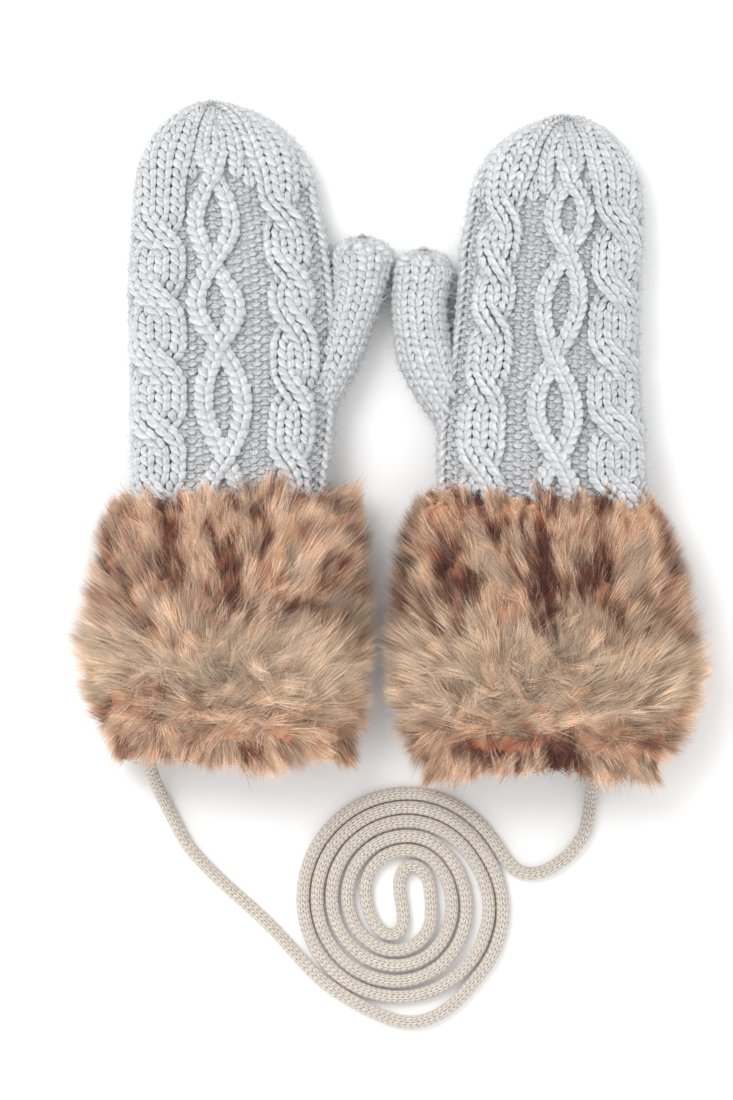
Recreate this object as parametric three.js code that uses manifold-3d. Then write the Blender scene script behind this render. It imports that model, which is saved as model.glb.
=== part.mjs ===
// A pair of cable-knit mittens with deep faux-fur cuffs, joined by one soft knitted cord, lying palm down.
// Millimetres. X runs across the pair, Y from the cuffs to the fingertips, Z up from the surface below.
// The origin is on that surface, under the middle of the two mittens.
// A mitten is modelled with its thumb on +X and its hem at y = 0. The right one is its mirror image.
import * as THREE from "three";
import { mergeVertices } from "three/addons/utils/BufferGeometryUtils.js";
import Module from "manifold-3d";

const wasm = await Module();
wasm.setup();

// Driving dimensions
const HAND_LENGTH = 287; // knit tube, from hem to fingertip
const HAND_WIDTH = 93; // as it lies
const HAND_HEIGHT = 29; // palm, as it lies, without the cables
const HAND_FULLNESS = 2.5; // superellipse exponent of a section: 2 is an ellipse
const CROWN_LENGTH = 44; // rounded end of the fingers
const WRIST_LENGTH = 88; // plain tube under the fur, from the hem up to the hand
const KNIT_WALL = 4; // wall of plain knit
const CABLE_RISE = 3.2; // how far the cables stand above plain knit
const STITCHES_ROUND = 58; // stitches round the hand
const ROPE_REPEAT = 30; // length of one crossing of a rope cable
const DIAMOND_REPEAT = 46; // length of one diamond

const THUMB_WIDTH = 27.4;
const THUMB_HEIGHT = 24;
const THUMB_CROWN = 13; // rounded end of the thumb

const CUFF_LENGTH = 108; // fur band, upwards from the hem
const CUFF_OVERHANG = 5; // fur band, below the hem
const CUFF_LIFT = 9; // how far the fur holds the wrist off the surface
const PILE_DEPTH = 23; // how far the hair stands from the knit
const LOCKS_ROUND = 11; // locks of hair in one row round the cuff
const LOCK_LENGTH = 31;
const LOCK_WIDTH = 33;
const LOCK_THICKNESS = 8;
const LOCK_LIFT = 3.4; // how far the tip of a lock stands above the fur around it

const CORD_DIAMETER = 6.2;
const COIL_PITCH = 7.3; // from one strand of the flat coil to the next
const COIL_STRANDS = 6; // strands from the coil's heart to its rim
const COIL_HALF_WIDTH = 48.8;
const COIL_HALF_LENGTH = 55.7;
const COIL_CENTRE = { x: 5.4, y: -211.0 };

const RIGHT_TURN = THREE.MathUtils.degToRad(-1.2); // the right mitten lies slightly turned out
const THUMB_LINE = -1.7; // between the two thumbs, a little left of the pair's middle
const CUFF_LINE = -5.2; // where the two cuffs meet
const CUFF_GAP = 1.6;
const FIT_GAP = 0.4; // between pieces that touch
const SMALLEST_DETAIL = 0.22; // smaller folds between locks are smoothed away

// Each mitten has tables of its own, since the two lie a little differently. In a hand and a thumb, along is
// a share of the length from hem to crown. inner (towards the thumb) and outer are distances from the
// mitten's middle line, as shares of HAND_WIDTH. A thumb's width is a share of THUMB_WIDTH, and low, the
// height of its underside, of THUMB_HEIGHT. In a cuff, along is a share of the way up the fur band, and
// inner, outer and over (above the knit) are depths of fur, as shares of PILE_DEPTH.
const LEFT = {
  side: "left",
  mirror: 1,
  turn: 0,
  hemY: -0.469 * HAND_LENGTH,
  seed: 11,
  crownLean: -0.077 * HAND_WIDTH, // sideways shift of the fingertip
  cuffLength: CUFF_LENGTH,
  hand: [
    { along: 0.0, inner: 0.474, outer: 0.474 },
    { along: 0.465, inner: 0.469, outer: 0.469 },
    { along: 0.576, inner: 0.501, outer: 0.477 },
    { along: 0.708, inner: 0.516, outer: 0.484 },
    { along: 0.819, inner: 0.508, outer: 0.492 },
    { along: 0.93, inner: 0.469, outer: 0.48 },
    { along: 1.0, inner: 0.424, outer: 0.469 },
  ],
  thumb: [
    { along: 0.502, inner: 0.28, width: 0.547, low: 0.417 },
    { along: 0.613, inner: 0.323, width: 0.65, low: 0.125 },
    { along: 0.695, inner: 0.387, width: 0.796, low: -0.05 },
    { along: 0.778, inner: 0.462, width: 0.803, low: -0.05 },
    { along: 0.831, inner: 0.495, width: 0.858, low: -0.05 },
    { along: 0.889, inner: 0.495, width: 1.0, low: -0.05 },
  ],
  cuff: [
    { along: 0.0, inner: 0.57, outer: 0.43, over: 0.26 },
    { along: 0.115, inner: 0.74, outer: 0.735, over: 0.48 },
    { along: 0.44, inner: 0.835, outer: 1.07, over: 0.65 },
    { along: 0.66, inner: 0.86, outer: 0.88, over: 0.61 },
    { along: 0.885, inner: 0.8, outer: 0.67, over: 0.52 },
    { along: 1.0, inner: 0.626, outer: 0.5, over: 0.3 },
  ],
};
const RIGHT = {
  side: "right",
  mirror: -1,
  turn: RIGHT_TURN,
  hemY: -0.49 * HAND_LENGTH,
  seed: 29,
  crownLean: -0.037 * HAND_WIDTH,
  cuffLength: 1.065 * CUFF_LENGTH,
  hand: [
    { along: 0.0, inner: 0.484, outer: 0.474 },
    { along: 0.49, inner: 0.542, outer: 0.467 },
    { along: 0.601, inner: 0.544, outer: 0.456 },
    { along: 0.683, inner: 0.508, outer: 0.426 },
    { along: 0.844, inner: 0.467, outer: 0.418 },
    { along: 0.942, inner: 0.456, outer: 0.43 },
    { along: 1.0, inner: 0.426, outer: 0.432 },
  ],
  thumb: [
    { along: 0.502, inner: 0.29, width: 0.657, low: 0.417 },
    { along: 0.601, inner: 0.312, width: 0.821, low: 0.125 },
    { along: 0.663, inner: 0.387, width: 0.934, low: -0.05 },
    { along: 0.724, inner: 0.462, width: 0.949, low: -0.05 },
    { along: 0.819, inner: 0.516, width: 0.898, low: -0.05 },
    { along: 0.885, inner: 0.492, width: 0.971, low: -0.05 },
  ],
  cuff: [
    { along: 0.0, inner: 0.61, outer: 0.474, over: 0.26 },
    { along: 0.115, inner: 0.9, outer: 0.865, over: 0.48 },
    { along: 0.44, inner: 1.05, outer: 1.13, over: 0.65 },
    { along: 0.66, inner: 0.957, outer: 0.88, over: 0.61 },
    { along: 0.885, inner: 0.74, outer: 0.583, over: 0.52 },
    { along: 1.0, inner: 0.46, outer: 0.283, over: 0.3 },
  ],
};

// How a hand lies. along is as in a hand's table. lift is the height of its underside, a share of CUFF_LIFT,
// and height a share of HAND_HEIGHT. Where lift is negative the underside is pressed flat on the surface.
const LIE = [
  { along: 0.0, lift: 1.0, height: 1.2 },
  { along: 0.251, lift: 1.0, height: 1.16 },
  { along: 0.465, lift: 0.8, height: 1.1 },
  { along: 0.576, lift: 0.25, height: 1.1 },
  { along: 0.708, lift: -0.12, height: 1.08 },
  { along: 0.819, lift: -0.15, height: 1.05 },
  { along: 0.93, lift: -0.15, height: 0.98 },
  { along: 1.0, lift: -0.12, height: 0.9 },
];

// Raised cables on the back of the hand. first and last are stitches, counted from the thumb edge over the
// back to the outer edge, as shares of STITCHES_ROUND. start is where a repeat begins, as a share of it.
const CABLES = [
  { kind: "rope", first: 0.07, last: 0.17, start: 0.1 },
  { kind: "diamond", first: 0.207, last: 0.328, start: 0.35 },
  { kind: "rope", first: 0.345, last: 0.483, start: 0.4 },
];

// Rows of locks. along is where they are rooted, as in a cuff's table. Hair below the parting points to the
// hem. length is a share of LOCK_LENGTH.
const LOCK_ROWS = [
  { along: 0.8, length: 0.92, way: 1 },
  { along: 0.55, length: 1.0, way: 1 },
  { along: 0.32, length: 1.0, way: 1 },
  { along: 0.16, length: 0.72, way: -1 },
];

// The cord's two ends, from each hem to the coil, as chosen points. Height is over the surface.
const CORD_LEFT = [
  [-109.8, -135.7, 17.0],
  [-109.3, -142.6, 15.9],
  [-106.9, -151.6, 10.2],
  [-103.5, -159.6, 4.8],
  [-99.9, -167.1, 3.4],
  [-91.7, -182.2, 3.1],
  [-80.2, -195.0, 3.1],
  [-67.4, -206.6, 3.1],
  [-55.1, -217.6, 3.1],
  [-43.1, -231.0, 3.1],
];
const CORD_RIGHT = [
  [91.9, -141.7, 12.8],
  [91.7, -148.1, 11.6],
  [91.1, -155.1, 7.2],
  [90.5, -162.1, 3.7],
  [89.5, -169.1, 3.2],
  [87.0, -178.1, 3.1],
  [80.5, -186.7, 3.1],
  [71.9, -193.6, 3.1],
  [63.9, -195.6, 3.1],
  [56.9, -194.8, 3.1],
  [53.5, -193.6, 3.1],
];

// One column of a table of sections, interpolated smoothly through them.
function column(rows, name, along) {
  const last = rows.length - 1;
  let i = 0;
  while (i < last - 1 && along > rows[i + 1].along) i += 1;
  const slope = (k) => {
    const before = rows[Math.max(k - 1, 0)];
    const after = rows[Math.min(k + 1, last)];
    return (after[name] - before[name]) / (after.along - before.along);
  };
  const span = rows[i + 1].along - rows[i].along;
  const t = THREE.MathUtils.clamp((along - rows[i].along) / span, 0, 1);
  const ease = t * t * (3 - 2 * t);
  const leave = slope(i) * span * t * (1 - t) * (1 - t);
  const arrive = slope(i + 1) * span * t * t * (t - 1);
  return rows[i][name] * (1 - ease) + rows[i + 1][name] * ease + leave + arrive;
}

// The same numbers on every run, for the locks' small differences.
function randomFrom(seed) {
  let state = seed;
  return () => {
    state = (state + 0x6d2b79f5) | 0;
    let mixed = Math.imul(state ^ (state >>> 15), 1 | state);
    mixed = (mixed + Math.imul(mixed ^ (mixed >>> 7), 61 | mixed)) ^ mixed;
    return ((mixed ^ (mixed >>> 14)) >>> 0) / 4294967296;
  };
}

// Solids
function solidOf(geometry) {
  const bare = geometry.clone();
  bare.deleteAttribute("normal");
  bare.deleteAttribute("uv");
  const merged = mergeVertices(bare, 1e-3);
  return new wasm.Manifold(
    new wasm.Mesh({
      numProp: 3,
      vertProperties: merged.attributes.position.array,
      triVerts: new Uint32Array(merged.index.array),
    }),
  );
}

function geometryOf(solid) {
  const mesh = solid.getMesh();
  const geometry = new THREE.BufferGeometry();
  geometry.setAttribute("position", new THREE.BufferAttribute(mesh.vertProperties, 3));
  geometry.setIndex(new THREE.BufferAttribute(mesh.triVerts, 1));
  geometry.computeVertexNormals();
  return geometry;
}

// The largest piece of a solid, without the small hollows between locks.
function mainBody(solid) {
  return solid.decompose().reduce((best, piece) => (piece.volume() > best.volume() ? piece : best));
}

function boxSolid(low, high) {
  const size = new THREE.Vector3().subVectors(high, low);
  const centre = new THREE.Vector3().addVectors(low, high).multiplyScalar(0.5);
  const box = new THREE.BoxGeometry(size.x, size.y, size.z);
  return solidOf(box.translate(centre.x, centre.y, centre.z));
}

// Everything between two values of y
function slab(first, last) {
  const far = 2 * HAND_LENGTH;
  return boxSolid(new THREE.Vector3(-far, first, -far), new THREE.Vector3(far, last, far));
}

// A closed solid through rings with equal numbers of points, each a list of THREE.Vector3. Both ends are
// closed, by a fan round the middle of the end ring.
function loftSolid(rings) {
  const count = rings[0].length;
  const points = rings.flat();
  const index = [];
  for (let r = 0; r < rings.length - 1; r += 1) {
    for (let c = 0; c < count; c += 1) {
      const a = r * count + c;
      const b = r * count + ((c + 1) % count);
      index.push(a, b + count, b, a, a + count, b + count);
    }
  }
  const middle = (ring) =>
    ring.reduce((sum, p) => sum.add(p), new THREE.Vector3()).divideScalar(count);
  const first = points.push(middle(rings[0])) - 1;
  const last = points.push(middle(rings[rings.length - 1])) - 1;
  const top = (rings.length - 1) * count;
  for (let c = 0; c < count; c += 1) {
    const next = (c + 1) % count;
    index.push(first, c, next, last, top + next, top + c);
  }
  const geometry = new THREE.BufferGeometry().setFromPoints(points);
  geometry.setIndex(index);
  return solidOf(geometry);
}

// A station is one section across a tube: y, middle (x), half (width), low and high (z), and floor, the
// height at which the section is pressed flat. Returns points with their outward directions, each at a
// share of the way round from the +X edge over the top.
function sectionPoints(station, shares) {
  const steps = 96;
  const centre = (station.low + station.high) / 2;
  const tall = (station.high - station.low) / 2;
  const power = 2 / HAND_FULLNESS;
  const bend = (value) => Math.sign(value) * Math.abs(value) ** power;
  const outline = [];
  for (let i = 0; i <= steps; i += 1) {
    const turn = (i / steps) * 2 * Math.PI;
    const x = station.middle + station.half * bend(Math.cos(turn));
    const z = Math.max(centre + tall * bend(Math.sin(turn)), station.floor);
    outline.push({ x, z });
  }
  const reach = [0];
  for (let i = 1; i <= steps; i += 1) {
    const step = Math.hypot(outline[i].x - outline[i - 1].x, outline[i].z - outline[i - 1].z);
    reach.push(reach[i - 1] + step);
  }
  return shares.map((share) => {
    const wanted = share * reach[steps];
    let i = 0;
    while (i < steps - 1 && reach[i + 1] < wanted) i += 1;
    const a = outline[i];
    const b = outline[i + 1];
    const length = Math.max(reach[i + 1] - reach[i], 1e-9);
    const t = (wanted - reach[i]) / length;
    const out = new THREE.Vector3((b.z - a.z) / length, 0, (a.x - b.x) / length);
    const place = new THREE.Vector3(a.x + (b.x - a.x) * t, station.y, a.z + (b.z - a.z) * t);
    return { place, out };
  });
}

// The rounded end of a tube: station shrunk to a share of its size, moved on along the tube.
function roundedEnd(station, share, length, lean) {
  const shrunk = Math.sqrt(Math.max(1 - share * share, 0));
  const centre = (station.low + station.high) / 2;
  const tall = ((station.high - station.low) / 2) * shrunk ** 0.85;
  return {
    y: station.y + length * share,
    middle: station.middle + (lean - station.middle) * (1 - shrunk),
    half: station.half * shrunk,
    low: centre - tall,
    high: centre + tall,
    floor: station.floor,
  };
}

// Hand
const BODY_LENGTH = HAND_LENGTH - CROWN_LENGTH;
const CABLES_FULL = CUFF_LENGTH - 6; // the cables fade out between here and the wrist
const FRONT_COLUMNS = 28;
const BACK_COLUMNS = 8;
const HAND_SHARES = [
  ...Array.from({ length: FRONT_COLUMNS }, (_, i) => (0.5 * i) / FRONT_COLUMNS),
  ...Array.from({ length: BACK_COLUMNS }, (_, i) => 0.5 + (0.5 * i) / BACK_COLUMNS),
];
const CROWN_SHARES = [0.4, 0.67, 0.86, 0.96, 0.995];
const VISIBLE_ROWS = 16;
const HAND_ROWS = [0, WRIST_LENGTH / 2, WRIST_LENGTH];
for (let i = 1; i <= VISIBLE_ROWS; i += 1) {
  HAND_ROWS.push(WRIST_LENGTH + ((BODY_LENGTH - WRIST_LENGTH) * i) / VISIBLE_ROWS);
}

// A section of the hand at y, grown outwards by a distance, which is negative for the inside of its wall.
function handStation(mitten, y, grow) {
  const along = y / BODY_LENGTH;
  const low = CUFF_LIFT * column(LIE, "lift", along);
  const tall = HAND_HEIGHT * column(LIE, "height", along);
  const inner = HAND_WIDTH * column(mitten.hand, "inner", along);
  const outer = HAND_WIDTH * column(mitten.hand, "outer", along);
  return {
    y,
    middle: (inner - outer) / 2,
    half: (inner + outer) / 2 + grow,
    low: low - grow,
    high: low + tall + grow,
    floor: -grow,
  };
}

function handStations(mitten, grow, rows) {
  const stations = rows.map((y) => handStation(mitten, y, grow));
  const last = stations[stations.length - 1];
  CROWN_SHARES.forEach((share) => {
    stations.push(roundedEnd(last, share, CROWN_LENGTH + grow, mitten.crownLean));
  });
  return stations;
}

// How far the knit stands out, from 0 to 1, at a share of the way round and a height y.
function cableRise(share, y) {
  let rise = 0;
  CABLES.forEach((cable) => {
    const first = Math.round(cable.first * STITCHES_ROUND);
    const wide = Math.round(cable.last * STITCHES_ROUND) - first;
    const across = (share * STITCHES_ROUND - first) / wide;
    if (across < 0 || across > 1) return;
    if (cable.kind === "rope") {
      const phase = y / ROPE_REPEAT + cable.start + across * 0.8;
      rise = Math.sin(Math.PI * across) ** 0.5 * (0.72 + 0.28 * Math.cos(2 * Math.PI * phase));
    } else {
      const phase = y / DIAMOND_REPEAT + cable.start;
      const spread = Math.abs(2 * (phase - Math.floor(phase)) - 1);
      const apart = 0.12 + 0.26 * spread;
      const near = Math.min(Math.abs(across - 0.5 - apart), Math.abs(across - 0.5 + apart));
      rise = 0.85 * Math.max(0, 1 - (near / 0.19) ** 2);
    }
  });
  return rise * THREE.MathUtils.smoothstep(y, WRIST_LENGTH, CABLES_FULL);
}

function handSolid(mitten) {
  const widest = handStation(mitten, BODY_LENGTH, 0).half;
  const rings = handStations(mitten, 0, HAND_ROWS).map((station) => {
    const narrow = Math.min(station.half / widest, 1);
    return sectionPoints(station, HAND_SHARES).map((point, i) => {
      const rise = cableRise(HAND_SHARES[i], station.y);
      return point.place.addScaledVector(point.out, CABLE_RISE * rise * narrow);
    });
  });
  return loftSolid(rings);
}

// The hand's edge with room to spare, where the thumb is seated. There are no cables there.
const SEAT_ROWS = [0, 0.45, 0.535, 0.61, 0.683, 0.757, 0.83, 0.914, 1];

function thumbSeat(mitten) {
  const rows = SEAT_ROWS.map((along) => along * BODY_LENGTH);
  const stations = handStations(mitten, 1.5 * FIT_GAP, rows);
  return loftSolid(
    stations.map((station) => sectionPoints(station, HAND_SHARES).map((point) => point.place)),
  );
}

// The inside of the hand, open at the hem
const INSIDE_SHARES = Array.from({ length: 16 }, (_, i) => i / 16);
const INSIDE_ROWS = [0, 0.25, 0.465, 0.62, 0.82, 1];

function insideSolid(mitten) {
  const rows = INSIDE_ROWS.map((along) => along * BODY_LENGTH);
  const stations = handStations(mitten, -KNIT_WALL, rows);
  stations[0].y = -CUFF_OVERHANG;
  return loftSolid(
    stations.map((station) => sectionPoints(station, INSIDE_SHARES).map((point) => point.place)),
  );
}

// Thumb
const THUMB_SHARES = Array.from({ length: 14 }, (_, i) => i / 14);

function thumbSolid(mitten, grow) {
  const stations = mitten.thumb.map((row) => ({
    y: BODY_LENGTH * row.along,
    middle: HAND_WIDTH * row.inner + (THUMB_WIDTH * row.width) / 2,
    half: (THUMB_WIDTH * row.width) / 2 + grow,
    low: THUMB_HEIGHT * row.low - grow,
    high: THUMB_HEIGHT + grow,
    floor: -grow,
  }));
  const last = stations[stations.length - 1];
  [0.4, 0.7, 0.9, 0.985].forEach((share) => {
    stations.push(roundedEnd(last, share, THUMB_CROWN + grow, last.middle));
  });
  return loftSolid(
    stations.map((station) => sectionPoints(station, THUMB_SHARES).map((point) => point.place)),
  );
}

// Fur cuff
const FUR_SHARES = Array.from({ length: 26 }, (_, i) => i / 26);

// A height on the fur band, from a share of the way up it.
function bandY(mitten, along) {
  return (mitten.cuffLength + CUFF_OVERHANG) * along - CUFF_OVERHANG;
}

// A section of the mass of fur under the locks.
function furStation(mitten, along) {
  const y = bandY(mitten, along);
  const inner = PILE_DEPTH * column(mitten.cuff, "inner", along);
  const outer = PILE_DEPTH * column(mitten.cuff, "outer", along);
  const over = PILE_DEPTH * column(mitten.cuff, "over", along);
  const knit = handStation(mitten, Math.max(y, 0), 0);
  return {
    y,
    middle: knit.middle + (inner - outer) / 2,
    half: knit.half + (inner + outer) / 2,
    low: -0.3 * over,
    high: knit.high + over,
    floor: 0,
  };
}

// A lock of hair: a bent, flattened cone with four sides that follows the mass of fur from its root, at
// shares of the way up the band and round it, to its tip, which stands off by LOCK_LIFT.
function lockSolid(mitten, along, share, way, length, width, sway) {
  const band = mitten.cuffLength + CUFF_OVERHANG;
  const spots = [0, 0.5, 1].map((part) => {
    const here = along + (way * length * part) / band;
    const station = { ...furStation(mitten, THREE.MathUtils.clamp(here, 0, 1)), y: bandY(mitten, here) };
    const [spot] = sectionPoints(station, [(share + sway * part + 1) % 1]);
    return spot;
  });
  const forms = [
    { width: 0.5, thick: 0.5, rise: -0.3 * LOCK_THICKNESS },
    { width: 0.42, thick: 0.42, rise: 0.8 * LOCK_LIFT },
    { width: 0.07, thick: 0.1, rise: LOCK_LIFT },
  ];
  const rings = forms.map((form, i) => {
    const { place, out } = spots[i];
    const centre = place.clone().addScaledVector(out, form.rise);
    const round = new THREE.Vector3(-out.z, 0, out.x).multiplyScalar(way * form.width * width);
    const thick = out.clone().multiplyScalar(form.thick * LOCK_THICKNESS);
    return [
      centre.clone().sub(round),
      centre.clone().add(thick),
      centre.clone().add(round),
      centre.clone().sub(thick),
    ];
  });
  return loftSolid(rings);
}

function furLocks(mitten) {
  const random = randomFrom(mitten.seed);
  const vary = (amount) => 1 + amount * (2 * random() - 1);
  const locks = [];
  LOCK_ROWS.forEach((row, r) => {
    for (let i = 0; i < LOCKS_ROUND; i += 1) {
      const share = ((i + 0.5 * (r % 2) + 0.3 * random()) / LOCKS_ROUND) % 1;
      const length = LOCK_LENGTH * row.length * vary(0.12);
      const width = LOCK_WIDTH * vary(0.12);
      const sway = 0.015 * (2 * random() - 1);
      const [{ out }] = sectionPoints(furStation(mitten, row.along), [share]);
      if (out.z < -0.6) continue; // pressed flat against the surface below
      locks.push(lockSolid(mitten, row.along, share, row.way, length, width, sway));
    }
  });
  return locks;
}

// Room for the hand and its cables inside the cuff
function handRoom(mitten) {
  const top = mitten.cuffLength + LOCK_LENGTH;
  const rows = [-3 * CUFF_OVERHANG, WRIST_LENGTH / 2, WRIST_LENGTH, CABLES_FULL, top];
  const clear = FIT_GAP + SMALLEST_DETAIL;
  const rings = rows.map((y) => {
    const cabled = y > WRIST_LENGTH ? CABLE_RISE : 0;
    const station = { ...handStation(mitten, Math.max(y, 0), clear + cabled), y };
    return sectionPoints(station, HAND_SHARES).map((point) => point.place);
  });
  return loftSolid(rings);
}

// The cuff. innermost is how far it may reach towards the other one, and cord is room for the cord.
function furSolid(mitten, innermost, cord) {
  const mass = loftSolid(
    mitten.cuff.map((row) =>
      sectionPoints(furStation(mitten, row.along), FUR_SHARES).map((point) => point.place),
    ),
  );
  const far = 2 * HAND_LENGTH;
  const room = boxSolid(
    new THREE.Vector3(-far, -far, 0),
    new THREE.Vector3(innermost, far, far),
  );
  const pile = wasm.Manifold.union([mass, ...furLocks(mitten)]);
  const cuff = pile.intersect(room).subtract(handRoom(mitten)).subtract(cord);
  return mainBody(cuff.simplify(SMALLEST_DETAIL));
}

// Cord
function cordGeometry(points, grow) {
  const path = new THREE.CatmullRomCurve3(points);
  const sides = 8;
  const radius = CORD_DIAMETER / 2 + grow;
  const corner = (i) => {
    const turn = ((i + 0.5) / sides) * 2 * Math.PI;
    return new THREE.Vector2(radius * Math.cos(turn), radius * Math.sin(turn));
  };
  const section = new THREE.Shape(Array.from({ length: sides }, (_, i) => corner(i)));
  const steps = Math.round(path.getLength() / (2 * CORD_DIAMETER));
  return new THREE.ExtrudeGeometry(section, { steps, extrudePath: path });
}

// The flat coil, as one ring whose top shows its strands.
function coilGeometry() {
  const radius = CORD_DIAMETER / 2;
  const rim = COIL_HALF_WIDTH - radius;
  const heart = rim - COIL_PITCH * (COIL_STRANDS - 1);
  const profile = [
    new THREE.Vector2(heart - radius, radius),
    new THREE.Vector2(heart - radius * 0.5, 0),
    new THREE.Vector2(rim + radius * 0.5, 0),
    new THREE.Vector2(rim + radius, radius),
  ];
  for (let i = 0; i < COIL_STRANDS; i += 1) {
    const middle = rim - i * COIL_PITCH;
    profile.push(new THREE.Vector2(middle + radius * 0.5, CORD_DIAMETER));
    profile.push(new THREE.Vector2(middle - radius * 0.5, CORD_DIAMETER));
    if (i < COIL_STRANDS - 1) {
      profile.push(new THREE.Vector2(middle - COIL_PITCH / 2, CORD_DIAMETER * 0.6));
    }
  }
  profile.push(profile[0].clone());
  const ring = new THREE.LatheGeometry(profile, 20);
  ring.rotateX(Math.PI / 2).scale(1, COIL_HALF_LENGTH / COIL_HALF_WIDTH, 1);
  return ring.translate(COIL_CENTRE.x, COIL_CENTRE.y, 0);
}

// Materials
const knit = new THREE.MeshStandardMaterial({ color: 0xc3c7cc, roughness: 0.95, metalness: 0 });
const fur = new THREE.MeshStandardMaterial({ color: 0xa5805f, roughness: 0.85, metalness: 0 });
const cordYarn = new THREE.MeshStandardMaterial({ color: 0xcfc6b8, roughness: 0.95, metalness: 0 });

function meshOf(name, geometry, material) {
  const mesh = new THREE.Mesh(geometry, material);
  mesh.name = name;
  return mesh;
}

// How far a thumb reaches from its mitten's middle line.
function thumbReach(mitten) {
  return Math.max(...mitten.thumb.map((row) => HAND_WIDTH * row.inner + THUMB_WIDTH * row.width));
}

// The middle line's distance from the thumb line. The tip of a turned mitten's thumb swings away from it.
function distanceOut(mitten) {
  const tip = mitten.thumb[mitten.thumb.length - 1];
  return thumbReach(mitten) + BODY_LENGTH * tip.along * Math.sin(mitten.turn);
}

// A mitten in its place, with room in its cuff for the cord's end that is sewn to its hem
function mittenGroup(mitten, x, cordPoints) {
  const group = new THREE.Group();
  group.position.set(x, mitten.hemY, 0);
  group.rotation.z = mitten.turn;
  group.scale.x = mitten.mirror;
  group.updateMatrix();
  const inwards = group.matrix.clone().invert();
  const cordHere = cordPoints.map((point) => point.clone().applyMatrix4(inwards));
  const reach = CORD_DIAMETER / 2 + 2 * FIT_GAP;
  const knot = boxSolid(cordHere[0].clone().subScalar(reach), cordHere[0].clone().addScalar(reach));
  const cordRoom = solidOf(cordGeometry(cordHere, 2 * FIT_GAP)).add(knot);
  const thumbInside = thumbSolid(mitten, -KNIT_WALL);
  const knitTube = handSolid(mitten).subtract(insideSolid(mitten)).subtract(thumbInside);
  const wrist = knitTube.intersect(slab(-HAND_LENGTH, WRIST_LENGTH - FIT_GAP / 2));
  const hand = knitTube.intersect(slab(WRIST_LENGTH + FIT_GAP / 2, 2 * HAND_LENGTH));
  const thumb = thumbSolid(mitten, 0).subtract(thumbInside).subtract(thumbSeat(mitten));
  const cuff = furSolid(mitten, Math.abs(x - CUFF_LINE) - CUFF_GAP / 2, cordRoom);
  group.add(meshOf(mitten.side + "_wrist", geometryOf(wrist), knit));
  group.add(meshOf(mitten.side + "_hand", geometryOf(hand), knit));
  group.add(meshOf(mitten.side + "_thumb", geometryOf(thumb), knit));
  group.add(meshOf(mitten.side + "_fur_cuff", geometryOf(cuff), fur));
  return group;
}

const spacing = (distanceOut(LEFT) + distanceOut(RIGHT)) / 2;
const pair = new THREE.Group();
[
  [LEFT, CORD_LEFT],
  [RIGHT, CORD_RIGHT],
].forEach(([mitten, route]) => {
  const points = route.map((point) => new THREE.Vector3(...point));
  pair.add(mittenGroup(mitten, THUMB_LINE - mitten.mirror * spacing, points));
  pair.add(meshOf("cord_" + mitten.side + "_run", cordGeometry(points, 0), cordYarn));
});
pair.add(meshOf("cord_coil", coilGeometry(), cordYarn));

export default pair;
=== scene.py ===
"""A pair of cable-knit mittens with deep fur cuffs on one long cord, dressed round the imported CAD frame.

Sizes are in millimetres, as they are on the real thing, until a mesh is made: MM turns them into metres.
A mitten is worked out in a frame of its own, with its thumb on +x and its hem at y = 0, and is then put
in its place. Every knitted stitch is modelled: a plain one as the two legs of a V, a purl one as an arc.
"""
import math

import bpy
import numpy as np
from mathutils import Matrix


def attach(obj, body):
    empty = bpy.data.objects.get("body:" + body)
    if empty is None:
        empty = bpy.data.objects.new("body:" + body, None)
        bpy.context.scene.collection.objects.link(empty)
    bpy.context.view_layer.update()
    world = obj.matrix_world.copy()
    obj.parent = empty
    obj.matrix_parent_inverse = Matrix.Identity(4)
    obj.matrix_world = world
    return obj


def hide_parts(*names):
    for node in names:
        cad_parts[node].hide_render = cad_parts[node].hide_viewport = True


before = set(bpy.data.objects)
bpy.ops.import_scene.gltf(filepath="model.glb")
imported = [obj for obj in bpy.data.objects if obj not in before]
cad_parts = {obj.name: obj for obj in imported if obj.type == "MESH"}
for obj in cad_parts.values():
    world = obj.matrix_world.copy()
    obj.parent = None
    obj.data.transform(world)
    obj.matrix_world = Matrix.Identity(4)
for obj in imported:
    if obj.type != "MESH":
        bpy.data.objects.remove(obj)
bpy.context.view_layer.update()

MM = 0.001

# Driving sizes, as in the part
HAND_LENGTH = 287.0
HAND_WIDTH = 93.0
HAND_HEIGHT = 29.0
HAND_FULLNESS = 2.5
CROWN_LENGTH = 44.0
BODY_LENGTH = HAND_LENGTH - CROWN_LENGTH
KNIT_WALL = 4.0
THUMB_WIDTH = 27.4
THUMB_HEIGHT = 24.0
THUMB_CROWN = 13.0
CUFF_LENGTH = 108.0
CUFF_OVERHANG = 5.0
CUFF_LIFT = 9.0
PILE_DEPTH = 23.0
CORD_DIAMETER = 6.2
FLOOR_GAP = 0.04

# The knit. A stitch is two legs wide, so the hand has 29 stitches round it.
LEGS = 58
THUMB_LEGS = 22
ROW = 3.9
THUMB_ROW = 3.7
KNIT_START = 86.0
CROWN_ARC = 64.0

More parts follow.
